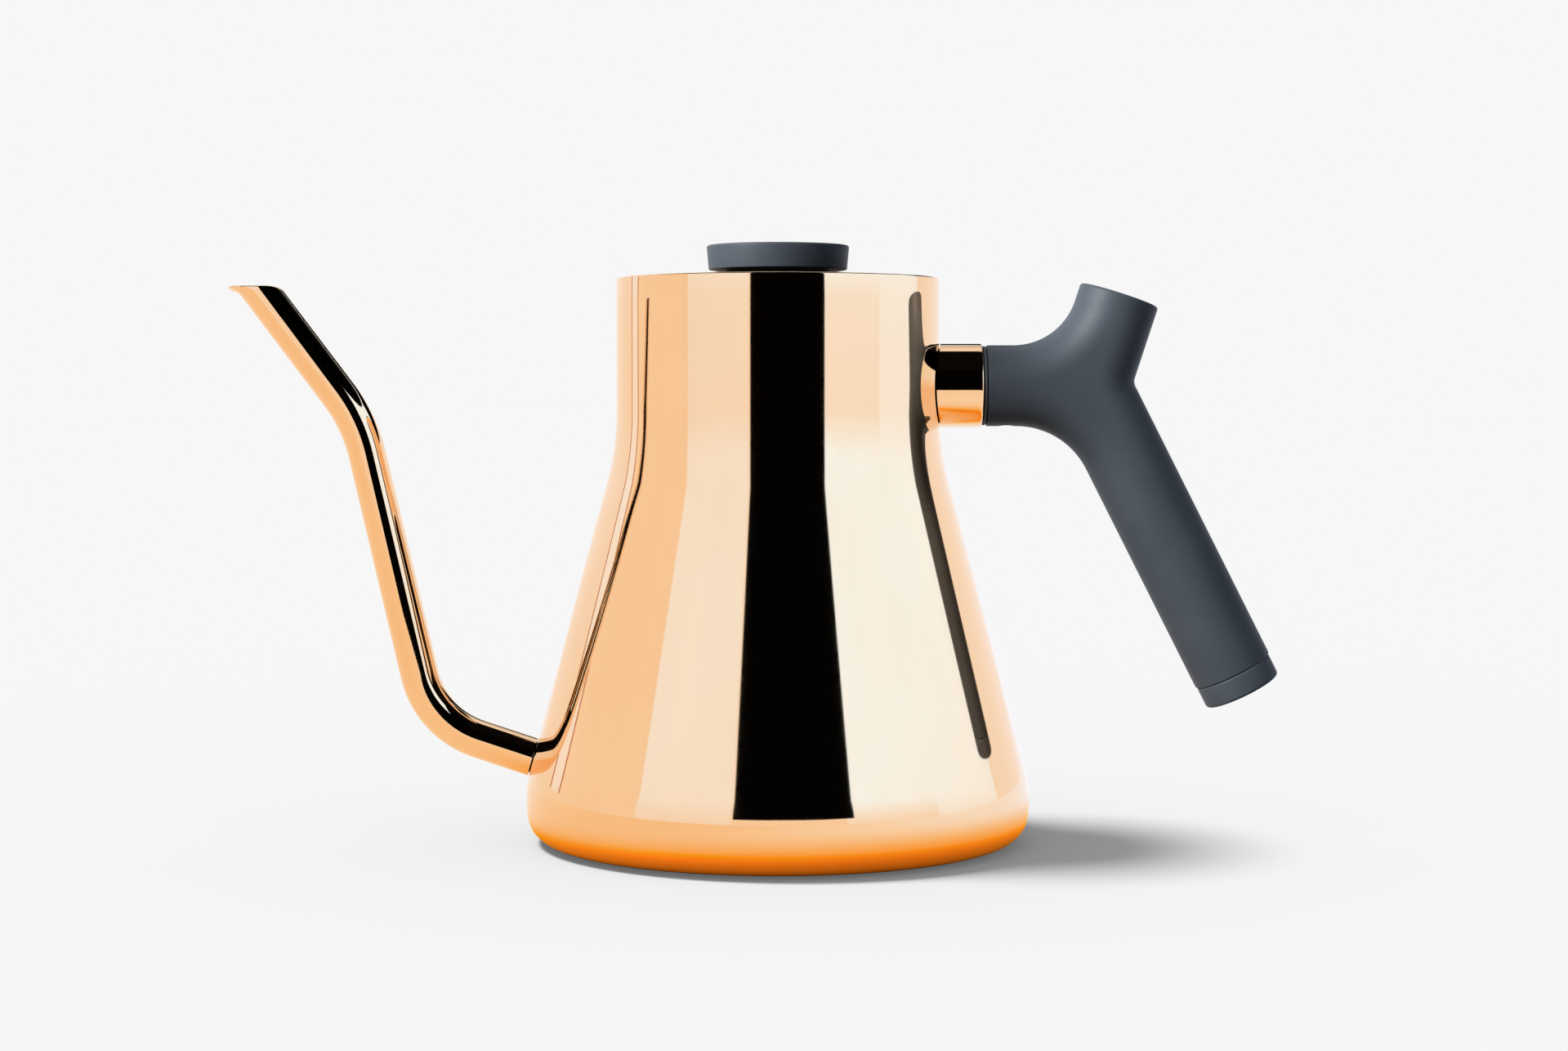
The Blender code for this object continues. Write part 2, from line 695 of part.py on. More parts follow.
def build_lid_plate(lid):
    bottom = LID_PLATE_TOP - LID_PLATE_THICKNESS
    skirt_inner = LID_SKIRT_RADIUS - LID_PLATE_THICKNESS
    flange_top = LID_PLATE_TOP - LID_SKIRT_DEPTH + 1.2 * MM
    flange_bottom = LID_PLATE_TOP - LID_SKIRT_DEPTH
    edge = 0.3 * MM
    plate = [(STEM_HOLE_RADIUS, bottom), (STEM_HOLE_RADIUS, LID_PLATE_TOP)]
    plate += arc(
        (LID_PLATE_RADIUS - edge, LID_PLATE_TOP - edge), edge, math.pi / 2, 0.0, 2
    )
    plate += [(LID_PLATE_RADIUS, bottom), (LID_SKIRT_RADIUS, bottom)]
    plate += [(LID_SKIRT_RADIUS, flange_top), (LID_SEAL_RADIUS - 0.2 * MM, flange_top)]
    plate += [(LID_SEAL_RADIUS - 0.2 * MM, flange_bottom), (skirt_inner, flange_bottom)]
    plate += [(skirt_inner, bottom)]
    obj = turned_part("lid_plate", plate, "polished_copper", BODY_STEPS, True, lid)
    for i in range(3):
        angle = math.pi + (i - 1) * STEAM_HOLE_SPACING
        hole = turned_cutter(
            f"steam_hole_{i + 1}",
            rod_profile(STEAM_HOLE_RADIUS, bottom - 5 * MM, LID_PLATE_TOP + 5 * MM),
            12,
            lid,
        )
        hole.location = (
            STEAM_HOLE_CIRCLE * math.cos(angle),
            STEAM_HOLE_CIRCLE * math.sin(angle),
            0.0,
        )
        cut(obj, hole)
    seal_bottom = flange_top + GAP
    seal = ring_profile(
        LID_SKIRT_RADIUS + GAP, LID_SEAL_RADIUS, seal_bottom, seal_bottom + LID_SEAL_HEIGHT
    )
    turned_part("lid_seal", seal, "clear_silicone", BODY_STEPS, True, lid)


def build_knob(lid):
    taper_top = KNOB_TOP - KNOB_EDGE
    knob = [(KNOB_CUP_RADIUS, KNOB_TOP), (KNOB_TOP_RADIUS - KNOB_EDGE, KNOB_TOP)]
    knob += arc(
        (KNOB_TOP_RADIUS - KNOB_EDGE, taper_top), KNOB_EDGE, math.pi / 2, 0.0, 3
    )[1:]
    knob += [(KNOB_LOWER_RADIUS, KNOB_LOWER_HEIGHT), (KNOB_FOOT_RADIUS, KNOB_UNDERSIDE)]
    knob += [(STEM_HOLE_RADIUS, KNOB_UNDERSIDE), (STEM_HOLE_RADIUS, KNOB_CUP_FLOOR)]
    knob += [(KNOB_CUP_RADIUS, KNOB_CUP_FLOOR)]
    turned_part("lid_knob", knob, "black_moulding", ROUND_STEPS, True, lid)
    spacer_bottom = LID_PLATE_TOP + GAP
    spacer = ring_profile(
        STEM_HOLE_RADIUS, KNOB_FOOT_RADIUS - 1.0 * MM, spacer_bottom, KNOB_UNDERSIDE - GAP
    )
    turned_part("knob_spacer", spacer, "silicone", ROUND_STEPS, True, lid)


def build_thermometer_case(lid):
    case_outer = KNOB_CUP_RADIUS - GAP
    case_inner = case_outer - 0.6 * MM
    case_floor = KNOB_CUP_FLOOR + GAP
    case_top = KNOB_TOP - 1.2 * MM
    case = [(case_inner, case_top), (case_outer, case_top), (case_outer, case_floor)]
    case += [(STEM_HOLE_RADIUS, case_floor), (STEM_HOLE_RADIUS, case_floor + 0.6 * MM)]
    case += [(case_inner, case_floor + 0.6 * MM)]
    turned_part("thermometer_case", case, "stainless_steel", ROUND_STEPS, True, lid)
    dial = ring_profile(1.0 * MM, DIAL_RADIUS, DIAL_HEIGHT, DIAL_HEIGHT + 0.4 * MM)
    turned_part("dial_face", dial, "dial_enamel", ROUND_STEPS, True, lid)
    lens = rod_profile(DIAL_RADIUS, case_top - 1.2 * MM, case_top - 0.4 * MM)
    turned_part("dial_lens", lens, "dial_glass", ROUND_STEPS, False, lid)
    bezel_bottom = case_top + GAP
    bezel = [(DIAL_RADIUS - 1.2 * MM, bezel_bottom), (DIAL_RADIUS - 1.2 * MM, KNOB_TOP - GAP)]
    bezel += [(case_outer, KNOB_TOP - GAP), (case_outer, bezel_bottom)]
    turned_part("dial_bezel", bezel, "stainless_steel", ROUND_STEPS, True, lid)


def build_probe(lid):
    """The stem that reaches into the water, clamped to the lid by a nut and a sealing washer."""
    stem_top = KNOB_CUP_FLOOR + GAP + 0.4 * MM
    collar_bottom = LID_PLATE_TOP - LID_PLATE_THICKNESS - 6.5 * MM
    bottom = LID_PLATE_TOP - STEM_LENGTH
    wall = STEM_RADIUS - STEM_BORE_RADIUS
    stem = [(0.0, bottom + wall), (STEM_BORE_RADIUS, bottom + wall)]
    stem += [(STEM_BORE_RADIUS, stem_top), (STEM_COLLAR_RADIUS, stem_top)]
    stem += [(STEM_COLLAR_RADIUS, collar_bottom), (STEM_RADIUS, collar_bottom)]
    stem += arc(
        (STEM_RADIUS - 1.0 * MM, bottom + 1.0 * MM), 1.0 * MM, 0.0, -math.pi / 2, 4
    )
    stem += [(0.0, bottom)]
    turned_part("probe_stem", stem, "stainless_steel", SMALL_STEPS, False, lid)
    plate_bottom = LID_PLATE_TOP - LID_PLATE_THICKNESS
    washer_top = plate_bottom - GAP
    washer = ring_profile(STEM_HOLE_RADIUS, 7.0 * MM, washer_top - 1.0 * MM, washer_top)
    turned_part("stem_washer", washer, "clear_silicone", SMALL_STEPS, True, lid)
    nut_radius = NUT_ACROSS_FLATS / math.sqrt(3)
    nut_top = washer_top - 1.0 * MM - GAP
    nut = rod_profile(nut_radius, nut_top - NUT_HEIGHT, nut_top)
    hexagon = turned_part("stem_nut", nut, "stainless_steel", 6, False, lid)
    hexagon.modifiers["Turn"].use_smooth_shade = False
    thread = rod_profile(STEM_HOLE_RADIUS, nut_top - 2 * NUT_HEIGHT, nut_top + NUT_HEIGHT)
    cut(hexagon, turned_cutter("nut_thread", thread, SMALL_STEPS, lid))
    bush = ring_profile(SPINDLE_RADIUS + 0.07 * MM, 1.65 * MM, 0.0, 3.0 * MM)
    turned_part("spindle_bush", bush, "brass", SMALL_STEPS, True, lid)


def build_bimetal_coil(lid):
    """The strip that unwinds as it warms. Its lower end is fixed and its upper end turns the spindle."""
    points_per_turn = 8
    count = COIL_TURNS * points_per_turn
    curve = bpy.data.curves.new("bimetal_coil", "CURVE")
    curve.dimensions = "3D"
    curve.bevel_depth = COIL_WIRE_RADIUS
    curve.bevel_resolution = 0
    curve.use_fill_caps = True
    spline = curve.splines.new("POLY")
    spline.points.add(count)
    for i, spline_point in enumerate(spline.points):
        angle = 2 * math.pi * i / points_per_turn
        height = COIL_BOTTOM + (COIL_TOP - COIL_BOTTOM) * i / count
        x = COIL_RADIUS * math.cos(angle)
        y = COIL_RADIUS * math.sin(angle)
        spline_point.co = (x, y, height, 1.0)
    mesh = mesh_of_curve("bimetal_coil", curve)
    add_object("bimetal_coil", mesh, "brass", lid)


def build_needle(pivot):
    """The pointer and its spindle, in a frame whose origin is on the dial's axis at the needle."""
    thickness = 0.3 * MM
    outline = [
        (-3.6 * MM, 0.55 * MM),
        (NEEDLE_LENGTH, 0.12 * MM),
        (NEEDLE_LENGTH, -0.12 * MM),
        (-3.6 * MM, -0.55 * MM),
    ]
    curve = bpy.data.curves.new("needle", "CURVE")
    curve.dimensions = "2D"
    curve.fill_mode = "BOTH"
    curve.extrude = thickness / 2
    spline = curve.splines.new("POLY")
    spline.points.add(len(outline) - 1)
    for spline_point, (x, y) in zip(spline.points, outline):
        spline_point.co = (x, y, 0.0, 1.0)
    spline.use_cyclic_u = True
    needle = add_object("needle", mesh_of_curve("needle", curve), "needle_paint", pivot)
    hub_blank = turned_cutter(
        "needle_hub_blank", rod_profile(1.3 * MM, -0.25 * MM, 0.3 * MM), SMALL_STEPS, pivot
    )
    join(needle, hub_blank)
    hub_hole = rod_profile(SPINDLE_RADIUS + 0.15 * MM, -1.0 * MM, 1.0 * MM)
    cut(needle, turned_cutter("needle_hub_hole", hub_hole, SMALL_STEPS, pivot))
    spindle_top = 0.45 * MM
    spindle_bottom = COIL_TOP + 1.0 * MM - NEEDLE_HEIGHT
    spindle = rod_profile(SPINDLE_RADIUS, spindle_bottom, spindle_top)
    turned_part("needle_spindle", spindle, "stainless_steel", SMALL_STEPS, False, pivot)


def build_lid():
    lid = add_empty("lid_frame", (0.0, 0.0, RIM_HEIGHT))
    build_lid_plate(lid)
    build_knob(lid)
    build_thermometer_case(lid)
    build_probe(lid)
    build_bimetal_coil(lid)
    pivot = add_empty("needle_pivot", (0.0, 0.0, NEEDLE_HEIGHT), (0.0, 0.0, NEEDLE_REST_ANGLE))
    pivot.parent = lid
    build_needle(pivot)


def main():
    clear_scene()
    make_collection(MODEL_COLLECTION, hidden=False)
    make_collection(CUTTER_COLLECTION, hidden=True)
    make_materials()
    clearance = body_clearance()
    bore = spout_bore_cutter()
    build_body(bore)
    build_base()
    build_spout(clearance, bore)
    build_flow_restrictor()
    build_handle(clearance)
    build_lid()


main()
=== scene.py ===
"""Looks of the gooseneck kettle: finely turned and swept pieces, procedural finishes, pale studio.

Metres, in the CAD's frame: +Z up, spout along -X, handle along +X, standing on z = 0. Profiles are
written as (radius, height), and points in the plane of symmetry as (x, z).
"""

import math

import bmesh
import bpy
import numpy as np
from mathutils import Matrix, Vector


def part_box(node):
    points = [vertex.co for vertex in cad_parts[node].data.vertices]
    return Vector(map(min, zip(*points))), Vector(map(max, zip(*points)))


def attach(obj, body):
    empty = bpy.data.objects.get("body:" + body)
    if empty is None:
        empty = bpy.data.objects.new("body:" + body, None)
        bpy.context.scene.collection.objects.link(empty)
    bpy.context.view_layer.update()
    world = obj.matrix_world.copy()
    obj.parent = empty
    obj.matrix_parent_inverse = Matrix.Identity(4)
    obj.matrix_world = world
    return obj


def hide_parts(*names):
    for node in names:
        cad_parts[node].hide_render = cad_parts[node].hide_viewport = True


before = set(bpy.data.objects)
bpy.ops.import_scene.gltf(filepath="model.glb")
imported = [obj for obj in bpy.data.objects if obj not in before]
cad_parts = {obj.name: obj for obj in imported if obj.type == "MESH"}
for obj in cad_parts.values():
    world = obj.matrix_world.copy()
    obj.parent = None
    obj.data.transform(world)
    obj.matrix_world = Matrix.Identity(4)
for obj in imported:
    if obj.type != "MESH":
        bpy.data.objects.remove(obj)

MM = 0.001
GAP = 0.3 * MM

# Body
WALL = 1.0 * MM
CONE_ANGLE = math.radians(15.15)
NECK_BLEND_RADIUS = 76.3 * MM
HEEL_RADIUS = 32.0 * MM
HEEL_END_ANGLE = math.radians(-9.25)
LOWER_HEEL_RADIUS = 8.0 * MM
WIDEST_HEIGHT = 12.2 * MM
RIM_EDGE = 0.4 * MM
LID_LEDGE_RADIUS = 42.75 * MM
LID_LEDGE_DROP = 1.8 * MM
LID_LEDGE_DEPTH = 3.3 * MM
FLOOR_THICKNESS = 1.0 * MM
FLOOR_HEIGHT = 4.8 * MM
BASE_RECESS_RADIUS = 58.4 * MM
RIM_RADIUS = 44.8 * MM
RIM_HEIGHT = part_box("kettle_body")[1].z
WIDEST_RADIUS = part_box("kettle_body")[1].x

# Spout: corner points of its centre line
SPOUT_CORNERS = [
    (-58.0 * MM, 19.55 * MM),
    (-97.0 * MM, 32.6 * MM),
    (-116.5 * MM, 116.9 * MM),
    (-148.3 * MM, 159.2 * MM),
]
SPOUT_BEND_RADII = [25.0 * MM, 45.0 * MM]
SPOUT_ROOT_RADIUS = 5.4 * MM
SPOUT_TIP_RADIUS = 5.1 * MM
SPOUT_WALL = 0.8 * MM
SPOUT_LIP_START = 5.3 * MM
SPOUT_LIP_LENGTH = 2.5 * MM
SPOUT_LIP_FLARE = 1.4 * MM
MOUTH_BACK_START = 10.9 * MM
MOUTH_BACK_LENGTH = 4.2 * MM
MOUTH_BACK_DROP = 1.8 * MM

# Handle
HANDLE_HEIGHT = 126.8 * MM
HANDLE_NODE_X = 86.7 * MM
LIMB_RADIUS = 10.95 * MM
LIMB_CORE = 0.3 * MM
HORN_ANGLE = math.radians(18.0)
HORN_LENGTH = 26.4 * MM
GRIP_ANGLE = math.radians(26.9)
GRIP_LENGTH = 95.5 * MM
END_CAP_LENGTH = 6.2 * MM
HORN_BLEND_RADIUS = 18.0 * MM
GRIP_BLEND_RADIUS = 22.0 * MM
NOTCH_RADIUS = 3.0 * MM
TANG_BORE_RADIUS = 4.9 * MM
TANG_END_X = 80.0 * MM
GRIP_BORE_RADIUS = 8.0 * MM
GRIP_BORE_DEPTH = 66.0 * MM
FERRULE_WALL = 1.2 * MM
WASHER_THICKNESS = 0.8 * MM
WASHER_RADIUS = 11.0 * MM
LIMB_EDGE = 0.35 * MM
SET_SCREW_X = 63.5 * MM
SET_SCREW_RADIUS = 2.0 * MM
FERRULE_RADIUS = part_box("handle_ferrule")[1].y
FERRULE_END_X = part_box("handle_ferrule")[1].x

# Lid and knob: heights are measured from the rim's plane
LID_PLATE_RADIUS = 43.4 * MM
LID_PLATE_TOP = -0.7 * MM
LID_PLATE_THICKNESS = 0.8 * MM
LID_SKIRT_RADIUS = 41.0 * MM
LID_SKIRT_DEPTH = 12.0 * MM
LID_SEAL_RADIUS = 42.35 * MM
STEAM_HOLE_RADIUS = 1.4 * MM
STEAM_HOLE_CIRCLE = 33.0 * MM
STEAM_HOLE_SPACING = math.radians(14)
STEM_HOLE_RADIUS = 3.5 * MM
KNOB_TOP = 9.2 * MM
KNOB_TOP_RADIUS = 19.8 * MM
KNOB_LOWER_RADIUS = 19.2 * MM
KNOB_LOWER_HEIGHT = 2.55 * MM
KNOB_UNDERSIDE = 1.8 * MM
KNOB_FOOT_RADIUS = 15.5 * MM
KNOB_CUP_RADIUS = 17.5 * MM
KNOB_CUP_FLOOR = 3.4 * MM
KNOB_EDGE = 0.6 * MM
CASE_RADIUS = KNOB_CUP_RADIUS - GAP
DIAL_RADIUS = 16.2 * MM
DIAL_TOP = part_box("dial_face")[1].z
NEEDLE_HEIGHT = RIM_HEIGHT + 5.9 * MM
NEEDLE_LENGTH = 13.2 * MM
NEEDLE_REST_ANGLE = math.radians(-45)
NEEDLE_SWEEP = math.radians(270)

# Dial: the marks of its scale are (how often, length, width), longest first
DIAL_HOLE_RADIUS = 1.0 * MM
DIAL_THICKNESS = 0.4 * MM
PRINT_HEIGHT = 0.06 * MM
SCALE_RADIUS = 14.6 * MM
SCALE_STEPS = 50
MARKS = [(10, 2.2 * MM, 0.34 * MM), (5, 1.5 * MM, 0.2 * MM), (1, 0.9 * MM, 0.12 * MM)]
HIGHEST_NUMBER = 100
NUMBER_STEP = 20
NUMBER_RADIUS = 10.4 * MM
NUMBER_SIZE = 3.1 * MM
WARM_BAND_RADII = (7.4 * MM, 8.2 * MM)
WARM_BAND_START = 0.8
WARM_BAND_STEPS = 24

BODY_STEPS = 256
KNOB_STEPS = 192
ROUND_STEPS = 128
SMALL_STEPS = 64
ARC_STEP = math.radians(2.5)
COARSE_ARC_STEP = math.radians(15)
MERGE_DISTANCE = 0.001 * MM
SHARP_ANGLE = math.radians(35)
FINE_SHARP_ANGLE = math.radians(30)

# Camera
CAMERA_PLACE = (1.7 * MM, -763.8 * MM, 123.2 * MM)
CAMERA_DIP = math.radians(2.647)
CAMERA_LENS = 62.96
CAMERA_SENSOR = 36.0
CAMERA_REACH = 100.0

# Tones of the light that the copper mirrors, on one scale that runs from dark to pale
CREAM = 1.0
SAND = 0.6
BUFF = 0.3
TAN = 0.1
BROWN = -1.5
BLACK = -2.0

# The light at 0 on that scale, and how much green and blue change with each step up or down
MIDDLE_TONE = (0.98, 0.83, 0.65)
GREEN_STEP = 0.53
BLUE_STEP_UP = 1.3
BLUE_STEP_DOWN = 0.95
CLOUD_SCALE = 2.2
CLOUD_DEPTH = 0.04

# The wall is a ring of plain panels, each a gradient from its low tone to its high one: its
# name, its edges in degrees to the right of the camera, its foot and top, and the two tones
WALL_DISTANCE = 1500 * MM
WALL_TOP = 1108 * MM
WALL_TRIM = 53 * MM
WALL_STEP = 2.5
TRIM_STEPS = 96
STRIP_FOOT = 80 * MM
DARK_FOOT = 560 * MM
PANELS = [
    ("back_left", (-180, -125), (0, WALL_TOP), (TAN, BUFF)),
    ("side_strip_foot", (-125, -115), (0, STRIP_FOOT), (TAN, BUFF)),
    ("side_strip_back_gap", (-125, -124), (STRIP_FOOT, WALL_TOP), (BROWN, BROWN)),
    ("side_strip", (-124, -116), (STRIP_FOOT, WALL_TOP), (BUFF, SAND)),
    ("side_strip_front_gap", (-116, -115), (STRIP_FOOT, WALL_TOP), (BROWN, BROWN)),
    ("left_screen", (-115, -65), (0, WALL_TOP), (TAN, TAN)),
    ("left_panel", (-65, -20), (0, WALL_TOP), (BUFF, SAND)),
    ("front", (-20, 30), (0, WALL_TOP), (TAN, BUFF)),
    ("right_panel", (30, 75), (0, WALL_TOP), (BUFF, CREAM)),
    ("right_screen", (75, 115), (0, WALL_TOP), (SAND, CREAM)),
    ("back_right", (115, 180), (0, DARK_FOOT), (BUFF, BUFF)),
    ("dark_back", (115, 180), (DARK_FOOT, WALL_TOP), (BLACK, BLACK)),
]
FULL_TONE_HEIGHT = 500 * MM
PANEL_ROWS = 12

# The tall black flag that gives the copper its dark stripe
FLAG_DISTANCE = 400 * MM
FLAG_EDGES = (-18.0, 31.0)
FLAG_SPAN = (43 * MM, 480 * MM)
FLAG_STEPS = 24

# The floor as the copper mirrors it, a painted reflection with painted shade: black at the foot,
# then paler over a short reach, which is longer on the side where the kettle's shadow falls. Pairs
# run from the left to the right.
FLOOR_FOOT = 62 * MM
FLOOR_SHADE_REACH = (10 * MM, 25 * MM)
FLOOR_TONES = (TAN, SAND)
# Painted shade: how much darker the mirrored floor is towards the front
FLOOR_FRONT_SHADE = 0.3
FLOOR_RINGS = [62, 67, 72, 78, 88, 100, 125, 160, 220, 300, 600, 3000, 30000]
FLOOR_TURN_STEP = 5
FLOOR_DROP = 0.1 * MM

# Light: the mirrored ceiling's brightness is (direction, level) stops along Y and along X
BACKDROP = 0.93
FLOOR_PAINT = 0.8
FLOOR_LIFT = 0.12
FILL_FROM_ABOVE = 0.28
FILL_FROM_BELOW = 0.12
CEILING_ALONG_Y = [(0.30, 0.003), (0.34, 0.95), (0.56, 0.95), (0.60, 0.70)]
CEILING_ALONG_X = [(0.35, 1.0), (0.45, 0.01)]
KEY_ELEVATION = math.radians(64.0)
KEY_BEHIND = math.radians(10.0)
KEY_STRENGTH = 2.56
KEY_SPREAD = 15.0
SIDE_STRENGTH = 11.5
SIDE_SPREAD = 40.0
SIDE_TOWARDS = (-0.78, -0.5, 0.45)

# Pieces whose shadows count, and the pieces that the side light reaches
KEY_BLOCKERS = ("body_shell", "lid_plate_fine", "lid_knob_fine")
DARK_PARTS = ("y_handle", "grip_cap_fine", "ferrule_washer_fine", "lid_knob_fine")


# Mesh helpers


def between(pair, share):
    return pair[0] + (pair[1] - pair[0]) * share


def add_object(name, data):
    obj = bpy.data.objects.new(name, data)
    bpy.context.scene.collection.objects.link(obj)
    return obj


def arc(centre, radius, start, end, step=ARC_STEP):
    """Points of an arc in the profile plane, its angles measured up from the outward direction."""
    pieces = max(3, math.ceil(abs(end - start) / step))
    angles = [start + (end - start) * i / pieces for i in range(pieces + 1)]
    return [
        (centre[0] + radius * math.cos(a), centre[1] + radius * math.sin(a))
        for a in angles
    ]


def bend(corner, before, after, radius, step=ARC_STEP):
    """The points of a corner rounded to a radius, on a path in one plane."""
    corner = Vector(corner)
    to_before = (Vector(before) - corner).normalized()
    to_after = (Vector(after) - corner).normalized()
    half = to_before.angle(to_after) / 2
    centre = corner + (to_before + to_after).normalized() * radius / math.sin(half)
    reach = radius / math.tan(half)
    start = corner + to_before * reach - centre
    end = corner + to_after * reach - centre
    turn = start.angle_signed(end)
    pieces = max(3, math.ceil(abs(turn) / step))
    points = []
    for i in range(pieces + 1):
        point = centre + Matrix.Rotation(-turn * i / pieces, 2) @ start
        points.append((point.x, point.y))
    return points


def rounded(profile, radii):
    """A profile whose inner points become arcs; a radius of 0 leaves a corner sharp."""
    points = [profile[0]]
    for i, radius in enumerate(radii, start=1):
        before, corner, after = profile[i - 1], profile[i], profile[i + 1]
        if radius:
            points += bend(corner, before, after, radius, COARSE_ARC_STEP)
        else:
            points.append(corner)
    return points + [profile[-1]]


def smooth(mesh, sharp_angle=SHARP_ANGLE):
    """Shades a mesh smooth but for its real edges."""
    mesh.shade_smooth()
    mesh.set_sharp_from_angle(angle=sharp_angle)


def mesh_from(name, cage):
    mesh = bpy.data.meshes.new(name)
    cage.to_mesh(mesh)
    cage.free()
    return mesh


def finish_mesh(name, cage):
    """The bmesh as a mesh with faces pointing out, smooth but for its real edges."""
    bmesh.ops.recalc_face_normals(cage, faces=cage.faces)
    mesh = mesh_from(name, cage)
    smooth(mesh)
    return mesh


def lathe(name, profile, steps=ROUND_STEPS, closed=False, place=Matrix()):
    """The profile turned once round the place's Z axis."""
    cage = bmesh.new()
    points = [cage.verts.new((r, 0.0, z)) for r, z in profile]
    pairs = list(zip(points, points[1:]))
    if closed:
        pairs.append((points[-1], points[0]))
    edges = [cage.edges.new(pair) for pair in pairs]
    bmesh.ops.spin(
        cage,
        geom=points + edges,
        cent=(0.0, 0.0, 0.0),
        axis=(0.0, 0.0, 1.0),
        angle=2 * math.pi,
        steps=steps,
        use_merge=True,
    )
    bmesh.ops.remove_doubles(cage, verts=cage.verts, dist=MERGE_DISTANCE / 2)
    bmesh.ops.transform(cage, matrix=place, verts=cage.verts)
    return add_object(name, finish_mesh(name, cage))


def grid_object(name, rows, close_rows=False):
    """Loops of points joined row to row; close_rows joins the last row to the first."""
    cage = bmesh.new()
    loops = [[cage.verts.new(point) for point in row] for row in rows]
    following = loops[1:] + ([loops[0]] if close_rows else [])
    for lower, upper in zip(loops, following):
        for i in range(len(lower)):
            cage.faces.new((lower[i - 1], lower[i], upper[i], upper[i - 1]))
    if not close_rows:
        cage.faces.new(loops[0])
        cage.faces.new(loops[-1][::-1])
    return add_object(name, finish_mesh(name, cage))


def use_evaluated(obj):
    """Applies the object's modifiers."""
    graph = bpy.context.evaluated_depsgraph_get()
    mesh = bpy.data.meshes.new_from_object(obj.evaluated_get(graph))
    obj.modifiers.clear()
    old = obj.data
    obj.data = mesh
    bpy.data.meshes.remove(old)
    smooth(mesh)


def cut(obj, *cutters):
    """Takes the cutters out of the object, and removes them."""
    for cutter in cutters:
        boolean = obj.modifiers.new("Cut", "BOOLEAN")
        boolean.operation = "DIFFERENCE"
        boolean.object = cutter
    use_evaluated(obj)
    for cutter in cutters:
        bpy.data.objects.remove(cutter, do_unlink=True)


def favour_large_faces(obj):
    """Normals follow the largest faces, so a small rounded edge doesn't tilt the flat beside it."""
    weighted = obj.modifiers.new("Weighted normals", "WEIGHTED_NORMAL")
    weighted.weight = 100
    weighted.keep_sharp = True
    use_evaluated(obj)


def rod_profile(radius, bottom, top, edge=0.0):
    profile = [(0.0, top), (radius, top), (radius, bottom), (0.0, bottom)]
    return rounded(profile, [edge, edge]) if edge else profile


def deliver(obj, body, slot_name, finish, *nodes):
    """The piece rides on its body, stands for its CAD nodes and takes its finish."""
    obj.data.materials.clear()
    obj.data.materials.append(bpy.data.materials[finish])
    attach(obj, body)
    if nodes:
        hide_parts(*nodes)
    return obj


# Body


def body_outline(offset, lowest_angle=-math.pi / 2):
    """The body's side from the top of its neck blend down to the heel, moved outwards by offset."""
    heel_centre = (WIDEST_RADIUS - HEEL_RADIUS, WIDEST_HEIGHT)
    reach = HEEL_RADIUS - LOWER_HEEL_RADIUS
    lower_centre = (
        heel_centre[0] + reach * math.cos(HEEL_END_ANGLE),
        heel_centre[1] + reach * math.sin(HEEL_END_ANGLE),
    )
    cone_foot_radius = heel_centre[0] + HEEL_RADIUS * math.cos(CONE_ANGLE)
    cone_foot_height = heel_centre[1] + HEEL_RADIUS * math.sin(CONE_ANGLE)
    cone_top_radius = RIM_RADIUS + NECK_BLEND_RADIUS * (1 - math.cos(CONE_ANGLE))
    cone_rise = (cone_foot_radius - cone_top_radius) / math.tan(CONE_ANGLE)
    blend_top = cone_foot_height + cone_rise + NECK_BLEND_RADIUS * math.sin(CONE_ANGLE)
    neck_centre = (RIM_RADIUS + NECK_BLEND_RADIUS, blend_top)
    fine = math.radians(1.0)
    neck = arc(
        neck_centre, NECK_BLEND_RADIUS - offset, math.pi, math.pi + CONE_ANGLE, fine
    )
    heel = arc(heel_centre, HEEL_RADIUS + offset, CONE_ANGLE, HEEL_END_ANGLE, fine)
    lower_heel = arc(
        lower_centre, LOWER_HEEL_RADIUS + offset, HEEL_END_ANGLE, lowest_angle
    )
    return neck + divided(neck[-1], heel[0], 6 * MM) + heel + lower_heel[1:]


def divided(start, end, longest):
    """The points between two ends that split a straight stretch into short ones."""
    start = Vector(start)
    end = Vector(end)
    pieces = math.ceil((end - start).length / longest)
    return [tuple(start.lerp(end, i / pieces)) for i in range(1, pieces)]


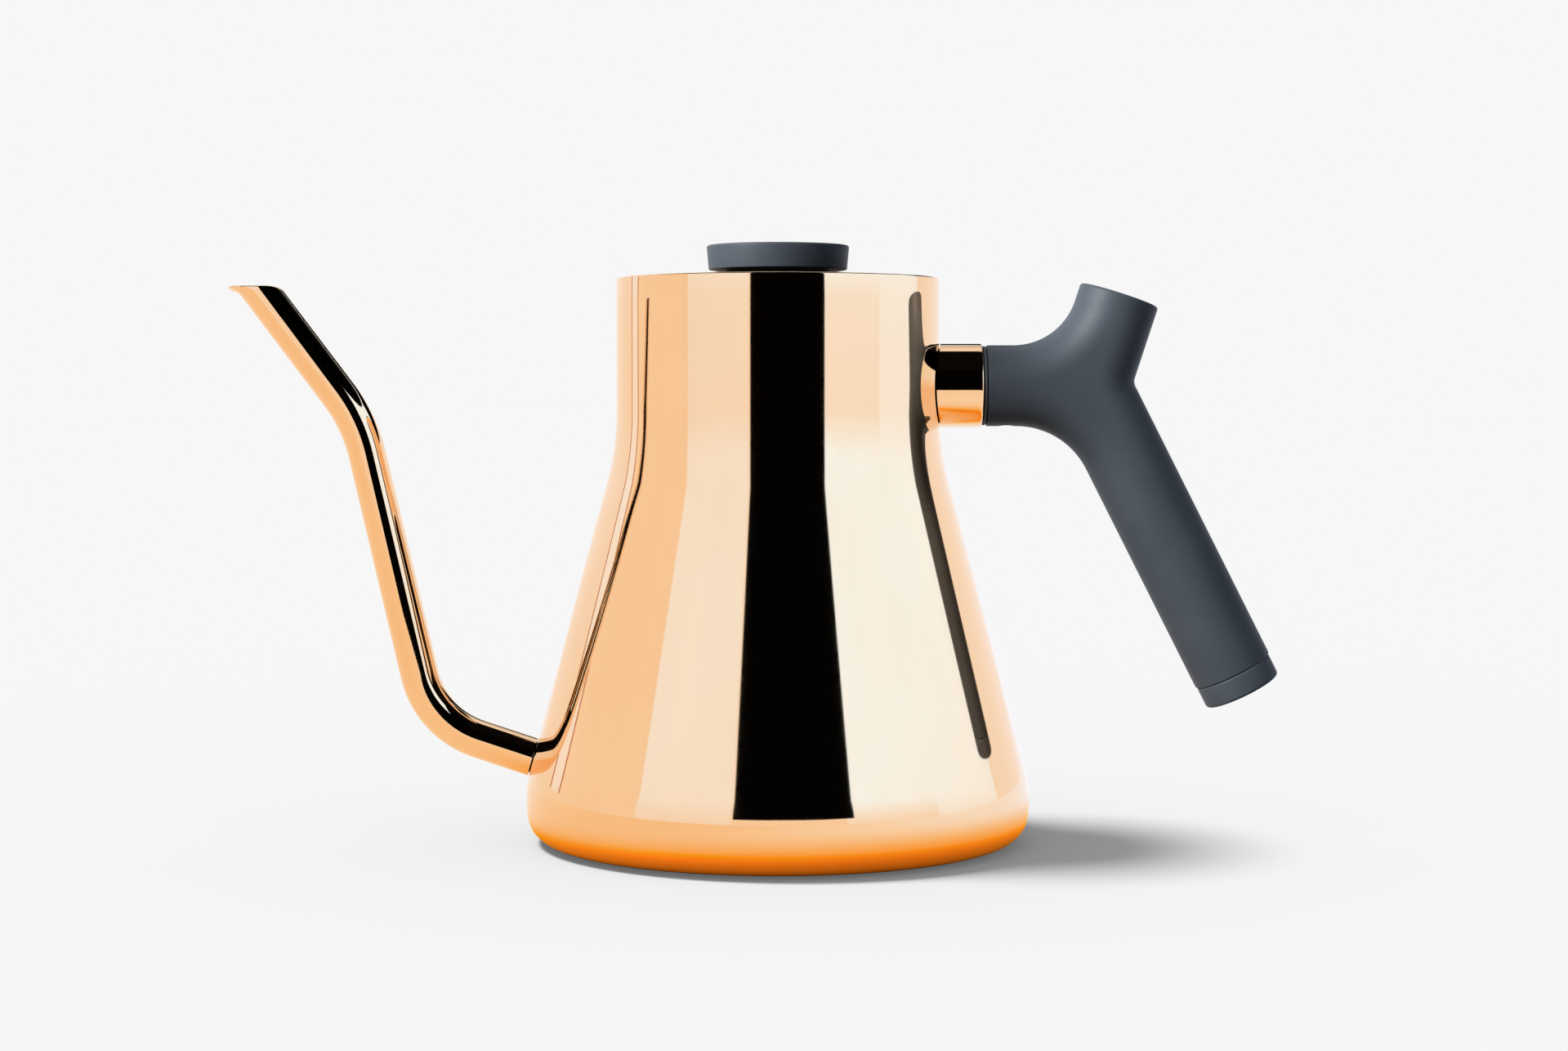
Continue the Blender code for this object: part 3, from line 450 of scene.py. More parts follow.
def body_profile():
    """Up the inside from the middle of the floor, over the rim and down the outside."""
    inner_radius = RIM_RADIUS - WALL
    ledge_top = RIM_HEIGHT - LID_LEDGE_DROP
    ledge_bottom = ledge_top - LID_LEDGE_DEPTH
    ledge_foot = ledge_bottom - (inner_radius - LID_LEDGE_RADIUS)
    inside = [p for p in body_outline(-WALL) if p[1] > FLOOR_HEIGHT + WALL]
    floor_edge = (inside[-1][0] - WALL, FLOOR_HEIGHT)
    ledge = [
        (inner_radius, ledge_foot),
        (LID_LEDGE_RADIUS, ledge_bottom),
        (LID_LEDGE_RADIUS, ledge_top),
        (inner_radius, ledge_top),
    ]
    top = RIM_HEIGHT - RIM_EDGE
    inner_centre = (inner_radius + RIM_EDGE, top)
    outer_centre = (RIM_RADIUS - RIM_EDGE, top)
    inner_edge = arc(inner_centre, RIM_EDGE, math.pi, math.pi / 2, COARSE_ARC_STEP)
    outer_edge = arc(outer_centre, RIM_EDGE, math.pi / 2, 0.0, COARSE_ARC_STEP)
    outside = body_outline(0.0)
    neck = divided(outer_edge[-1], outside[0], 6 * MM)
    recess_roof = FLOOR_HEIGHT - FLOOR_THICKNESS
    bottom = [
        (BASE_RECESS_RADIUS + RIM_EDGE, outside[-1][1]),
        (BASE_RECESS_RADIUS, outside[-1][1] + RIM_EDGE),
        (BASE_RECESS_RADIUS, recess_roof),
        (0.0, recess_roof),
    ]
    start = [(0.0, FLOOR_HEIGHT), floor_edge]
    return start + inside[::-1] + ledge + inner_edge + outer_edge + neck + outside + bottom


def body_radius_at(heights, clearance):
    """The body's outer radius, grown by the clearance, at each height."""
    side = body_outline(clearance)
    radii = [side[0][0]] + [p[0] for p in side]
    levels = [RIM_HEIGHT] + [p[1] for p in side]
    return np.interp(heights, levels[::-1], radii[::-1])


def build_body():
    body = lathe("body_shell", body_profile(), BODY_STEPS)
    cut(body, spout_bore())
    deliver(body, "kettle", "polished_copper", "copper", "kettle_body")


# Spout


def spout_stations():
    """Points of the centre line and their directions, close together."""
    root, lower, upper, tip = SPOUT_CORNERS
    low_bend = bend(lower, root, upper, SPOUT_BEND_RADII[0])
    high_bend = bend(upper, lower, tip, SPOUT_BEND_RADII[1])
    line = [root] + divided(root, low_bend[0], 4 * MM)
    line += low_bend + divided(low_bend[-1], high_bend[0], 4 * MM)
    line += high_bend + divided(high_bend[-1], tip, 4 * MM) + [tip]
    points = np.array(line)
    lengths = np.hypot(*np.diff(points, axis=0).T)
    return points, np.concatenate([[0.0], np.cumsum(lengths)])


class Tube:
    """A round tube along the spout's centre line, seen as lines that run along it."""

    def __init__(self, sides):
        self.points, self.stations = spout_stations()
        self.angles = 2 * math.pi * np.arange(sides) / sides
        slopes = np.gradient(self.points, self.stations, axis=0)
        self.slopes = slopes / np.linalg.norm(slopes, axis=1)[:, None]

    @property
    def length(self):
        return self.stations[-1]

    def radius(self, along):
        share = along / self.length
        return SPOUT_ROOT_RADIUS + (SPOUT_TIP_RADIUS - SPOUT_ROOT_RADIUS) * share

    def flare(self, along, angle):
        """How far the lip leans out, which is most on the pouring side."""
        start = self.length - SPOUT_LIP_START
        share = np.clip((along - start) / SPOUT_LIP_LENGTH, 0, 1)
        return SPOUT_LIP_FLARE * share**2 * (0.55 + 0.45 * np.cos(angle))

    def at(self, along, angle, inset):
        """Points at those distances along the line; angle 0 is the pouring side."""
        x = np.interp(along, self.stations, self.points[:, 0])
        z = np.interp(along, self.stations, self.points[:, 1])
        slope_x = np.interp(along, self.stations, self.slopes[:, 0])
        slope_z = np.interp(along, self.stations, self.slopes[:, 1])
        size = np.hypot(slope_x, slope_z)
        reach = self.radius(along) + self.flare(along, angle) - inset
        side = reach * np.cos(angle)
        return np.stack(
            [
                x - side * slope_z / size,
                reach * np.sin(angle),
                z + side * slope_x / size,
            ],
            axis=-1,
        )


def first_crossing(test, low, high):
    """Bisects each line for the place where its test turns from below to above zero."""
    for _ in range(40):
        middle = (low + high) / 2
        above = test(middle) > 0
        high = np.where(above, middle, high)
        low = np.where(above, low, middle)
    return (low + high) / 2


def mouth_line(tube, inset):
    """How far each line runs before it meets the mouth, which is level and rounded at the back."""
    mouth_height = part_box("spout_tube")[1].z
    back_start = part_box("spout_tube")[0].x + MOUTH_BACK_START

    def past_mouth(along):
        place = tube.at(along, tube.angles, inset)
        back = np.clip((place[:, 0] - back_start) / MOUTH_BACK_LENGTH, 0, None)
        return place[:, 2] - mouth_height + MOUTH_BACK_DROP * back**2

    count = len(tube.angles)
    return first_crossing(
        past_mouth, np.full(count, tube.length * 0.8), np.full(count, tube.length * 1.02)
    )


def root_line(tube, inset):
    """How far along each line lies clear of the body's wall."""

    def past_wall(along):
        place = tube.at(along, tube.angles, inset)
        wall = body_radius_at(place[:, 2], GAP)
        return np.hypot(place[:, 0], place[:, 1]) - wall

    count = len(tube.angles)
    return first_crossing(past_wall, np.zeros(count), np.full(count, 25 * MM))


def build_spout():
    tube = Tube(sides=96)
    rows = []
    middle = SPOUT_WALL / 2
    starts = root_line(tube, middle)
    ends = mouth_line(tube, middle) - middle
    steps = 150
    edge_steps = 6
    for i in range(steps + 1):
        rows.append(tube.at(starts + (ends - starts) * i / steps, tube.angles, 0.0))
    for i in range(1, edge_steps):
        turned = math.pi * i / edge_steps
        along = ends + middle * math.sin(turned)
        rows.append(tube.at(along, tube.angles, middle * (1 - math.cos(turned))))
    for i in range(steps + 1):
        along = ends + (starts - ends) * i / steps
        rows.append(tube.at(along, tube.angles, SPOUT_WALL))
    spout = grid_object("gooseneck_spout", rows, close_rows=True)
    deliver(spout, "kettle", "polished_copper", "copper", "spout_tube")


def spout_bore():
    """The inside of the tube, run on into the body, as a cutter."""
    sides = 48
    tube = Tube(sides)
    places = np.linspace(0.0, 40 * MM, 12)
    rows = [tube.at(np.full(sides, along), tube.angles, SPOUT_WALL) for along in places]
    return grid_object("spout_bore", rows)


# Handle


def handle_directions():
    """The node where the limbs meet, and the directions of the neck, horn and grip, as (x, z)."""
    node = Vector((HANDLE_NODE_X, HANDLE_HEIGHT))
    neck = Vector((-1.0, 0.0))
    horn = Vector((math.sin(HORN_ANGLE), math.cos(HORN_ANGLE)))
    grip = Vector((math.sin(GRIP_ANGLE), -math.cos(GRIP_ANGLE)))
    return node, neck, horn, grip


def limb_place(direction):
    """The frame whose Z axis runs from the node out along a limb."""
    x, z = direction
    rotation = Matrix.Rotation(math.atan2(x, z), 4, "Y")
    return Matrix.Translation((HANDLE_NODE_X, 0.0, HANDLE_HEIGHT)) @ rotation


def web_edge(node, before, after, blend_radius):
    """The rounded inner corner between two limbs of the flat middle."""
    half = before.angle(after) / 2
    corner = node + (before + after).normalized() * LIMB_CORE / math.sin(half)
    far = 100 * MM
    radius = blend_radius + LIMB_RADIUS
    path = bend(corner, corner + before * far, corner + after * far, radius)
    return [Vector(point) for point in path]


def handle_outline():
    """The flat middle of the Y, which grows by the limbs' radius all round."""
    node, neck, horn, grip = handle_directions()
    past = 6 * MM
    neck_end = node + neck * (HANDLE_NODE_X - FERRULE_END_X + past)
    horn_end = node + horn * (HORN_LENGTH + past)
    grip_end = node + grip * (GRIP_LENGTH + past)
    horn_side = Vector((horn.y, -horn.x)) * LIMB_CORE
    grip_side = Vector((-grip.y, grip.x)) * LIMB_CORE
    neck_side = Vector((0.0, LIMB_CORE))
    points = [neck_end + neck_side]
    points += web_edge(node, neck, horn, HORN_BLEND_RADIUS)
    points += [horn_end - horn_side, horn_end + horn_side]
    points += web_edge(node, horn, grip, NOTCH_RADIUS)
    points += [grip_end + grip_side, grip_end - grip_side]
    points += web_edge(node, grip, neck, GRIP_BLEND_RADIUS)
    points += [neck_end - neck_side]
    return points


def flat_curve(name, outline):
    """A filled flat curve round a closed outline."""
    curve = bpy.data.curves.new(name, "CURVE")
    curve.dimensions = "2D"
    curve.fill_mode = "BOTH"
    spline = curve.splines.new("POLY")
    spline.points.add(len(outline) - 1)
    for spline_point, (x, y) in zip(spline.points, outline):
        spline_point.co = (x, y, 0.0, 1.0)
    spline.use_cyclic_u = True
    return curve


def cage_from(curve, merge_distance):
    """A curve or text as a bmesh, with its meeting points merged."""
    guide = add_object(curve.name + "_guide", curve)
    graph = bpy.context.evaluated_depsgraph_get()
    mesh = bpy.data.meshes.new_from_object(guide.evaluated_get(graph))
    cage = bmesh.new()
    cage.from_mesh(mesh)
    bmesh.ops.remove_doubles(cage, verts=cage.verts, dist=merge_distance)
    bpy.data.objects.remove(guide, do_unlink=True)
    bpy.data.curves.remove(curve)
    bpy.data.meshes.remove(mesh)
    return cage


def rounded_outline(name, outline, radius):
    """A flat outline in the plane of symmetry, rounded out all the way by radius."""
    curve = flat_curve(name, outline)
    curve.bevel_depth = radius
    curve.bevel_resolution = 14
    cage = cage_from(curve, 2 * MERGE_DISTANCE)
    upright = Matrix.Rotation(math.radians(90), 3, "X")
    bmesh.ops.rotate(cage, matrix=upright, verts=cage.verts)
    return cage


def trim_limb(cage, place, distance, edge):
    """Cuts a limb square at a distance from the node and rounds the new edge."""
    at = place @ Vector((0.0, 0.0, distance))
    out = place.to_3x3() @ Vector((0.0, 0.0, 1.0))
    everything = cage.verts[:] + cage.edges[:] + cage.faces[:]
    made = bmesh.ops.bisect_plane(
        cage, geom=everything, plane_co=at, plane_no=out, clear_outer=True
    )
    rim = [e for e in made["geom_cut"] if isinstance(e, bmesh.types.BMEdge)]
    bmesh.ops.contextual_create(cage, geom=rim)
    bmesh.ops.bevel(cage, geom=rim, offset=edge, segments=4, profile=0.5, affect="EDGES")


def build_handle_moulding():
    _, neck, horn, grip = handle_directions()
    cage = rounded_outline("handle_moulding_fine", handle_outline(), LIMB_RADIUS)
    grip_end = GRIP_LENGTH - END_CAP_LENGTH - GAP
    neck_end = HANDLE_NODE_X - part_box("handle_moulding")[0].x
    trim_limb(cage, limb_place(horn), HORN_LENGTH, 0.8 * MM)
    trim_limb(cage, limb_place(grip), grip_end, LIMB_EDGE)
    trim_limb(cage, limb_place(neck), neck_end, LIMB_EDGE)
    moulding = add_object("y_handle", finish_mesh("y_handle", cage))
    bore = rod_profile(GRIP_BORE_RADIUS, grip_end - GRIP_BORE_DEPTH, grip_end + 20 * MM)
    tang_bore = rod_profile(
        TANG_BORE_RADIUS, HANDLE_NODE_X - TANG_END_X - GAP, neck_end + 20 * MM
    )
    screw_hole = rod_profile(SET_SCREW_RADIUS + GAP, -LIMB_RADIUS - 5 * MM, -2.5 * MM)
    screw_place = Matrix.Translation((SET_SCREW_X, 0.0, HANDLE_HEIGHT))
    cut(
        moulding,
        lathe("grip_bore", bore, SMALL_STEPS, place=limb_place(grip)),
        lathe("tang_bore", tang_bore, SMALL_STEPS, place=limb_place(neck)),
        lathe("screw_hole", screw_hole, SMALL_STEPS, place=screw_place),
    )
    deliver(moulding, "kettle", "black_moulding", "moulding", "handle_moulding")


def build_grip_cap():
    """The end cap, with the spigot that goes up inside the grip."""
    _, _, _, grip = handle_directions()
    start = GRIP_LENGTH - END_CAP_LENGTH
    spigot_start = start - 9.0 * MM
    groove_start = spigot_start + 2.0 * MM
    groove_end = start - 2.5 * MM
    spigot = 6.2 * MM
    lip = 7.6 * MM
    profile = [(0.0, GRIP_LENGTH), (LIMB_RADIUS, GRIP_LENGTH), (LIMB_RADIUS, start)]
    profile += [(lip, start), (lip, groove_end), (spigot, groove_end)]
    profile += [(spigot, groove_start), (lip, groove_start)]
    profile += [(lip, spigot_start), (0.0, spigot_start)]
    profile = rounded(profile, [1.0 * MM, LIMB_EDGE] + [0] * 6)
    cap = lathe("grip_cap_fine", profile, place=limb_place(grip))
    deliver(cap, "kettle", "black_moulding", "moulding", "grip_end_cap")


def build_ferrule():
    """The copper collar, coped to the body at one end and finely rounded at the other."""
    sides = 128
    angles = 2 * math.pi * np.arange(sides) / sides
    inner = FERRULE_RADIUS - FERRULE_WALL
    edge = LIMB_EDGE
    steps = 12

    def ring(radius, x):
        y = radius * np.cos(angles)
        z = HANDLE_HEIGHT + radius * np.sin(angles)
        return np.stack([np.broadcast_to(x, y.shape), y, z], axis=-1)

    def wall(radius):
        y = radius * np.cos(angles)
        reach = body_radius_at(HANDLE_HEIGHT + radius * np.sin(angles), GAP)
        return np.sqrt(reach**2 - y**2)

    rows = []
    outer_start = wall(FERRULE_RADIUS)
    inner_start = wall(inner)
    end = FERRULE_END_X - edge
    for i in range(steps + 1):
        rows.append(ring(FERRULE_RADIUS, outer_start + (end - outer_start) * i / steps))
    for turned in (math.pi / 8 * i for i in range(1, 5)):
        radius = FERRULE_RADIUS - edge * (1 - math.cos(turned))
        rows.append(ring(radius, end + edge * math.sin(turned)))
    for i in range(steps + 1):
        x = FERRULE_END_X + (inner_start - FERRULE_END_X) * i / steps
        rows.append(ring(inner, x))
    ferrule = grid_object("ferrule_fine", rows, close_rows=True)
    deliver(ferrule, "kettle", "polished_copper", "copper", "handle_ferrule")


def build_washer():
    """The soft washer between the ferrule and the moulding."""
    _, neck, _, _ = handle_directions()
    top = HANDLE_NODE_X - FERRULE_END_X - GAP
    bottom = top - WASHER_THICKNESS
    profile = [(TANG_BORE_RADIUS, top), (WASHER_RADIUS, top), (WASHER_RADIUS, bottom)]
    profile = rounded(profile + [(TANG_BORE_RADIUS, bottom)], [0.25 * MM, 0.25 * MM])
    washer = lathe("ferrule_washer_fine", profile, closed=True, place=limb_place(neck))
    deliver(washer, "kettle", "black_silicone", "silicone", "ferrule_washer")


# Lid


def from_rim():
    return Matrix.Translation((0.0, 0.0, RIM_HEIGHT))


def build_lid_plate():
    bottom = LID_PLATE_TOP - LID_PLATE_THICKNESS
    skirt_inner = LID_SKIRT_RADIUS - LID_PLATE_THICKNESS
    flange = LID_PLATE_TOP - LID_SKIRT_DEPTH
    flange_top = flange + 1.2 * MM
    flange_radius = LID_SEAL_RADIUS - 0.2 * MM
    profile = [(STEM_HOLE_RADIUS, bottom), (STEM_HOLE_RADIUS, LID_PLATE_TOP)]
    profile += [(LID_PLATE_RADIUS, LID_PLATE_TOP), (LID_PLATE_RADIUS, bottom)]
    profile += [(LID_SKIRT_RADIUS, bottom), (LID_SKIRT_RADIUS, flange_top)]
    profile += [(flange_radius, flange_top), (flange_radius, flange)]
    profile += [(skirt_inner, flange), (skirt_inner, bottom)]
    profile = rounded(profile, [0, 0.35 * MM] + [0] * 6)
    plate = lathe("lid_plate_fine", profile, BODY_STEPS, closed=True, place=from_rim())
    edge = 0.3 * MM
    edge_centre = (STEAM_HOLE_RADIUS + edge, LID_PLATE_TOP - edge)
    rim = arc(edge_centre, edge, math.pi, math.pi / 2, math.radians(20))
    below = bottom - 2 * MM
    above = LID_PLATE_TOP + 1 * MM
    profile = [(0.0, below), (STEAM_HOLE_RADIUS, below)] + rim
    profile += [(rim[-1][0] + 0.2 * MM, above), (0.0, above)]
    holes = []
    for i in range(3):
        angle = math.pi + (i - 1) * STEAM_HOLE_SPACING
        across = STEAM_HOLE_CIRCLE * math.cos(angle)
        along = STEAM_HOLE_CIRCLE * math.sin(angle)
        place = Matrix.Translation((across, along, RIM_HEIGHT))
        holes.append(lathe(f"steam_hole_{i + 1}", profile, SMALL_STEPS, place=place))
    cut(plate, *holes)
    favour_large_faces(plate)
    deliver(plate, "lid", "polished_copper", "copper", "lid_plate")


def build_knob():
    profile = [(KNOB_CUP_RADIUS, KNOB_TOP), (KNOB_TOP_RADIUS, KNOB_TOP)]
    profile += [(KNOB_LOWER_RADIUS, KNOB_LOWER_HEIGHT)]
    profile += [(KNOB_FOOT_RADIUS, KNOB_UNDERSIDE), (STEM_HOLE_RADIUS, KNOB_UNDERSIDE)]
    profile += [(STEM_HOLE_RADIUS, KNOB_CUP_FLOOR), (KNOB_CUP_RADIUS, KNOB_CUP_FLOOR)]
    profile += [(KNOB_CUP_RADIUS, KNOB_TOP - 0.4 * MM)]
    profile = rounded(profile, [KNOB_EDGE, 0.3 * MM, 0, 0, 0, 0])
    knob = lathe("lid_knob_fine", profile, KNOB_STEPS, closed=True, place=from_rim())
    deliver(knob, "lid", "black_moulding", "moulding", "lid_knob")


def build_bezel():
    """The steel ring that holds the lens."""
    inner = DIAL_RADIUS - 1.2 * MM
    bottom = KNOB_TOP - 1.2 * MM + GAP
    top = KNOB_TOP - GAP
    profile = [(inner, bottom), (inner, top), (CASE_RADIUS, top), (CASE_RADIUS, bottom)]
    profile = rounded(profile, [0.2 * MM, 0.25 * MM])
    bezel = lathe("bezel_fine", profile, KNOB_STEPS, closed=True, place=from_rim())
    deliver(bezel, "lid", "stainless_steel", "brushed_steel", "dial_bezel")


def build_lens():
    bottom = KNOB_TOP - 2.4 * MM
    profile = rod_profile(DIAL_RADIUS, bottom, bottom + 0.8 * MM, 0.15 * MM)
    lens = lathe("lens_fine", profile, place=from_rim())
    lens.visible_shadow = False
    deliver(lens, "lid", "dial_glass", "glass", "dial_lens")


def dial_angle(share):
    """Where a share of the scale lies: it starts where the needle rests and runs clockwise."""
    return NEEDLE_REST_ANGLE - NEEDLE_SWEEP * share


def raised(name, curve, thickness, place):
    """A flat curve or text raised to a thickness and moved to its place."""
    curve.extrude = thickness / 2
    cage = cage_from(curve, MERGE_DISTANCE)
    bmesh.ops.transform(cage, matrix=place, verts=cage.verts)
    mesh = mesh_from(name, cage)
    smooth(mesh, FINE_SHARP_ANGLE)
    return add_object(name, mesh)


def joined(name, pieces):
    """One object made of several."""
    cage = bmesh.new()
    for piece in pieces:
        cage.from_mesh(piece.data)
    mesh = mesh_from(name, cage)
    for piece in pieces:
        bpy.data.objects.remove(piece, do_unlink=True)
    return add_object(name, mesh)


def around(radius, angle):
    return (radius * math.cos(angle), radius * math.sin(angle))


def scale_marks(level):
    """The marks and numbers of the scale."""
    pieces = []
    for i in range(SCALE_STEPS + 1):
        length, width = next(size for every, *size in MARKS if i % every == 0)
        inner = SCALE_RADIUS - length
        mark = [(inner, -width / 2), (SCALE_RADIUS, -width / 2)]
        mark += [(SCALE_RADIUS, width / 2), (inner, width / 2)]
        turned = level @ Matrix.Rotation(dial_angle(i / SCALE_STEPS), 4, "Z")
        name = f"mark_{i}"
        pieces.append(raised(name, flat_curve(name, mark), PRINT_HEIGHT, turned))
    upright = Matrix.Rotation(math.radians(90), 4, "Z")
    for number in range(0, HIGHEST_NUMBER + 1, NUMBER_STEP):
        name = f"number_{number}"
        text = bpy.data.curves.new(name, "FONT")
        text.body = str(number)
        text.size = NUMBER_SIZE
        text.align_x = "CENTER"
        text.align_y = "CENTER"
        centre = around(NUMBER_RADIUS, dial_angle(number / HIGHEST_NUMBER))
        place = level @ Matrix.Translation((*centre, 0.0)) @ upright
        pieces.append(raised(name, text, PRINT_HEIGHT, place))
    return joined("dial_markings", pieces)


def build_dial():
    """The enamelled plate with its raised print: a degree scale, its numbers and a warm band."""
    back = DIAL_TOP - DIAL_THICKNESS
    profile = [(DIAL_HOLE_RADIUS, back), (DIAL_HOLE_RADIUS, DIAL_TOP)]
    profile += [(DIAL_RADIUS, DIAL_TOP), (DIAL_RADIUS, back)]
    plate = lathe("dial_plate", rounded(profile, [0, 0.1 * MM]), closed=True)
    deliver(plate, "lid", "dial_enamel", "enamel", "dial_face")
    level = Matrix.Translation((0.0, 0.0, DIAL_TOP + PRINT_HEIGHT / 2))
    deliver(scale_marks(level), "lid", "dial_enamel", "print_ink")
    shares = [i / WARM_BAND_STEPS for i in range(WARM_BAND_STEPS + 1)]
    angles = [dial_angle(between((WARM_BAND_START, 1.0), share)) for share in shares]
    inner, outer = WARM_BAND_RADII
    band = [around(outer, a) for a in angles] + [around(inner, a) for a in angles[::-1]]
    warm = raised("warm_band", flat_curve("warm_band", band), PRINT_HEIGHT, level)
    deliver(warm, "lid", "needle_paint", "needle_red")


def build_needle():
    """The pointer: a slim tapered blade with a round hub."""
    place = Matrix.Translation((0.0, 0.0, NEEDLE_HEIGHT))
    place = place @ Matrix.Rotation(NEEDLE_REST_ANGLE, 4, "Z")
    hub = 1.3 * MM
    bore = 0.65 * MM
    tail = [(-3.6 * MM, -0.55 * MM), (-3.6 * MM, 0.55 * MM)]
    tip = [(NEEDLE_LENGTH, 0.12 * MM), (NEEDLE_LENGTH, -0.12 * MM)]
    blade = raised("blade", flat_curve("blade", tail + tip), 0.3 * MM, place)
    profile = [(bore, -0.25 * MM), (hub, -0.25 * MM), (hub, 0.3 * MM), (bore, 0.3 * MM)]
    profile = rounded(profile, [0, 0.15 * MM])
    boss = lathe("hub", profile, SMALL_STEPS, closed=True, place=place)
    cutter = rod_profile(bore, -1 * MM, 1 * MM)
    hole = lathe("hub_hole", cutter, SMALL_STEPS // 2, place=place)
    cut(blade, hole)
    needle = joined("needle_fine", [blade, boss])
    smooth(needle.data, FINE_SHARP_ANGLE)
    deliver(needle, "needle", "needle_paint", "needle_red", "needle")


# Finishes


def add_node(tree, kind, inputs=None):
    """A shader node; each input given takes a value, or the socket that feeds it."""
    node = tree.nodes.new("ShaderNode" + kind)
    for key, value in (inputs or {}).items():
        if isinstance(value, bpy.types.NodeSocket):
            tree.links.new(value, node.inputs[key])
        else:
            node.inputs[key].default_value = value
    return node


def add_ramp(tree, factor, *stops):
    """Colours (or greys) along a factor, as (position, colour) pairs."""
    ramp = add_node(tree, "ValToRGB", {"Fac": factor})
    elements = ramp.color_ramp.elements
    while len(elements) < len(stops):
        elements.new(0.5)
    for element, (position, colour) in zip(elements, stops):
        element.position = position
        grey = isinstance(colour, (int, float))
        element.color = (colour, colour, colour, 1.0) if grey else (*colour, 1.0)
    return ramp.outputs["Color"]


class Finish:
    """A node material, with short calls for adding nodes and joining them."""

    def __init__(self, name, roughness, metallic=0.0):
        self.material = bpy.data.materials.new(name)
        self.material.use_nodes = True
        self.tree = self.material.node_tree
        self.shader = self.tree.nodes["Principled BSDF"]
        self.shader.inputs["Roughness"].default_value = roughness
        self.shader.inputs["Metallic"].default_value = metallic
        self.place = add_node(self.tree, "TexCoord").outputs["Object"]

    def noise(self, scale, detail=2.0, stretch=(1.0, 1.0, 1.0)):
        """Noise in the object's space, its grain 1 / scale metres, shorter where stretched."""
        mapping = add_node(self.tree, "Mapping", {"Vector": self.place, "Scale": stretch})
        vector = mapping.outputs["Vector"]
        inputs = {"Vector": vector, "Scale": scale, "Detail": detail}
        return add_node(self.tree, "TexNoise", inputs).outputs["Fac"]

    def ramp(self, factor, *stops):
        return add_ramp(self.tree, factor, *stops)

    def colour(self, output):
        self.tree.links.new(output, self.shader.inputs["Base Color"])

    def roughness(self, output):
        self.tree.links.new(output, self.shader.inputs["Roughness"])

    def bump(self, height, depth, strength):
        """Relief that is depth metres deep."""
        inputs = {"Height": height, "Distance": depth, "Strength": strength}
        bump = add_node(self.tree, "Bump", inputs)
        self.tree.links.new(bump.outputs["Normal"], self.shader.inputs["Normal"])


def make_copper():
    """Mirror-polished copper: hair-fine polishing lines round the body and faint cloudiness."""
    copper = Finish("copper", 0.05, metallic=1.0)
    cloud = copper.noise(28, detail=3)
    tones = ((0.3, (0.955, 0.625, 0.365)), (0.7, (0.955, 0.648, 0.39)))
    copper.colour(copper.ramp(cloud, *tones))
    lines = copper.noise(60, detail=4, stretch=(1.0, 1.0, 60.0))
    copper.roughness(copper.ramp(lines, (0.3, 0.03), (0.75, 0.065)))
    copper.bump(lines, 0.0015 * MM, 0.35)


def make_moulding():
    """Matt black moulded plastic with a fine even grain."""
    moulding = Finish("moulding", 0.45)
    cloud = moulding.noise(60, detail=3)
    tones = ((0.3, (0.030, 0.036, 0.044)), (0.7, (0.036, 0.042, 0.051)))
    moulding.colour(moulding.ramp(cloud, *tones))
    moulding.shader.inputs["Specular IOR Level"].default_value = 0.1
    grain = moulding.noise(2600, detail=2)
    moulding.roughness(moulding.ramp(grain, (0.3, 0.40), (0.7, 0.52)))
    moulding.bump(grain, 0.03 * MM, 0.5)


def make_silicone():
    silicone = Finish("silicone", 0.6)
    dust = silicone.noise(900, detail=3)
    tones = ((0.3, (0.022, 0.025, 0.03)), (0.75, (0.032, 0.036, 0.042)))
    silicone.colour(silicone.ramp(dust, *tones))
    silicone.roughness(silicone.ramp(dust, (0.3, 0.55), (0.7, 0.72)))
    silicone.bump(dust, 0.02 * MM, 0.4)


def make_clear_silicone():
    seal = Finish("clear_silicone_seal", 0.35)
    seal.shader.inputs["Transmission Weight"].default_value = 0.35
    seal.shader.inputs["IOR"].default_value = 1.41
    cloud = seal.noise(120, detail=3)
    seal.colour(seal.ramp(cloud, (0.3, (0.72, 0.73, 0.71)), (0.7, (0.82, 0.82, 0.8))))
    seal.roughness(seal.ramp(seal.noise(700), (0.3, 0.3), (0.7, 0.45)))


def make_metal(name, dark, light, roughest, stretch, depth):
    """A turned or brushed metal whose fine lines run where the stretch is 1."""
    metal = Finish(name, roughest, metallic=1.0)
    lines = metal.noise(90, detail=4, stretch=stretch)
    metal.colour(metal.ramp(lines, (0.3, dark), (0.7, light)))
    metal.roughness(metal.ramp(lines, (0.3, roughest * 0.7), (0.7, roughest)))
    metal.bump(lines, depth, 0.5)


def make_enamel():
    enamel = Finish("enamel", 0.4)
    cloud = enamel.noise(300, detail=3)
    enamel.colour(enamel.ramp(cloud, (0.3, (0.8, 0.8, 0.775)), (0.7, (0.86, 0.86, 0.84))))
    enamel.roughness(enamel.ramp(cloud, (0.3, 0.35), (0.7, 0.48)))


def make_paint(name, thin, thick, roughness):
    """Printed or sprayed paint, a little uneven."""
    paint = Finish(name, roughness)
    speckle = paint.noise(1500, detail=2)
    paint.colour(paint.ramp(speckle, (0.3, thin), (0.7, thick)))
    paint.roughness(paint.ramp(speckle, (0.3, roughness * 0.85), (0.7, roughness)))


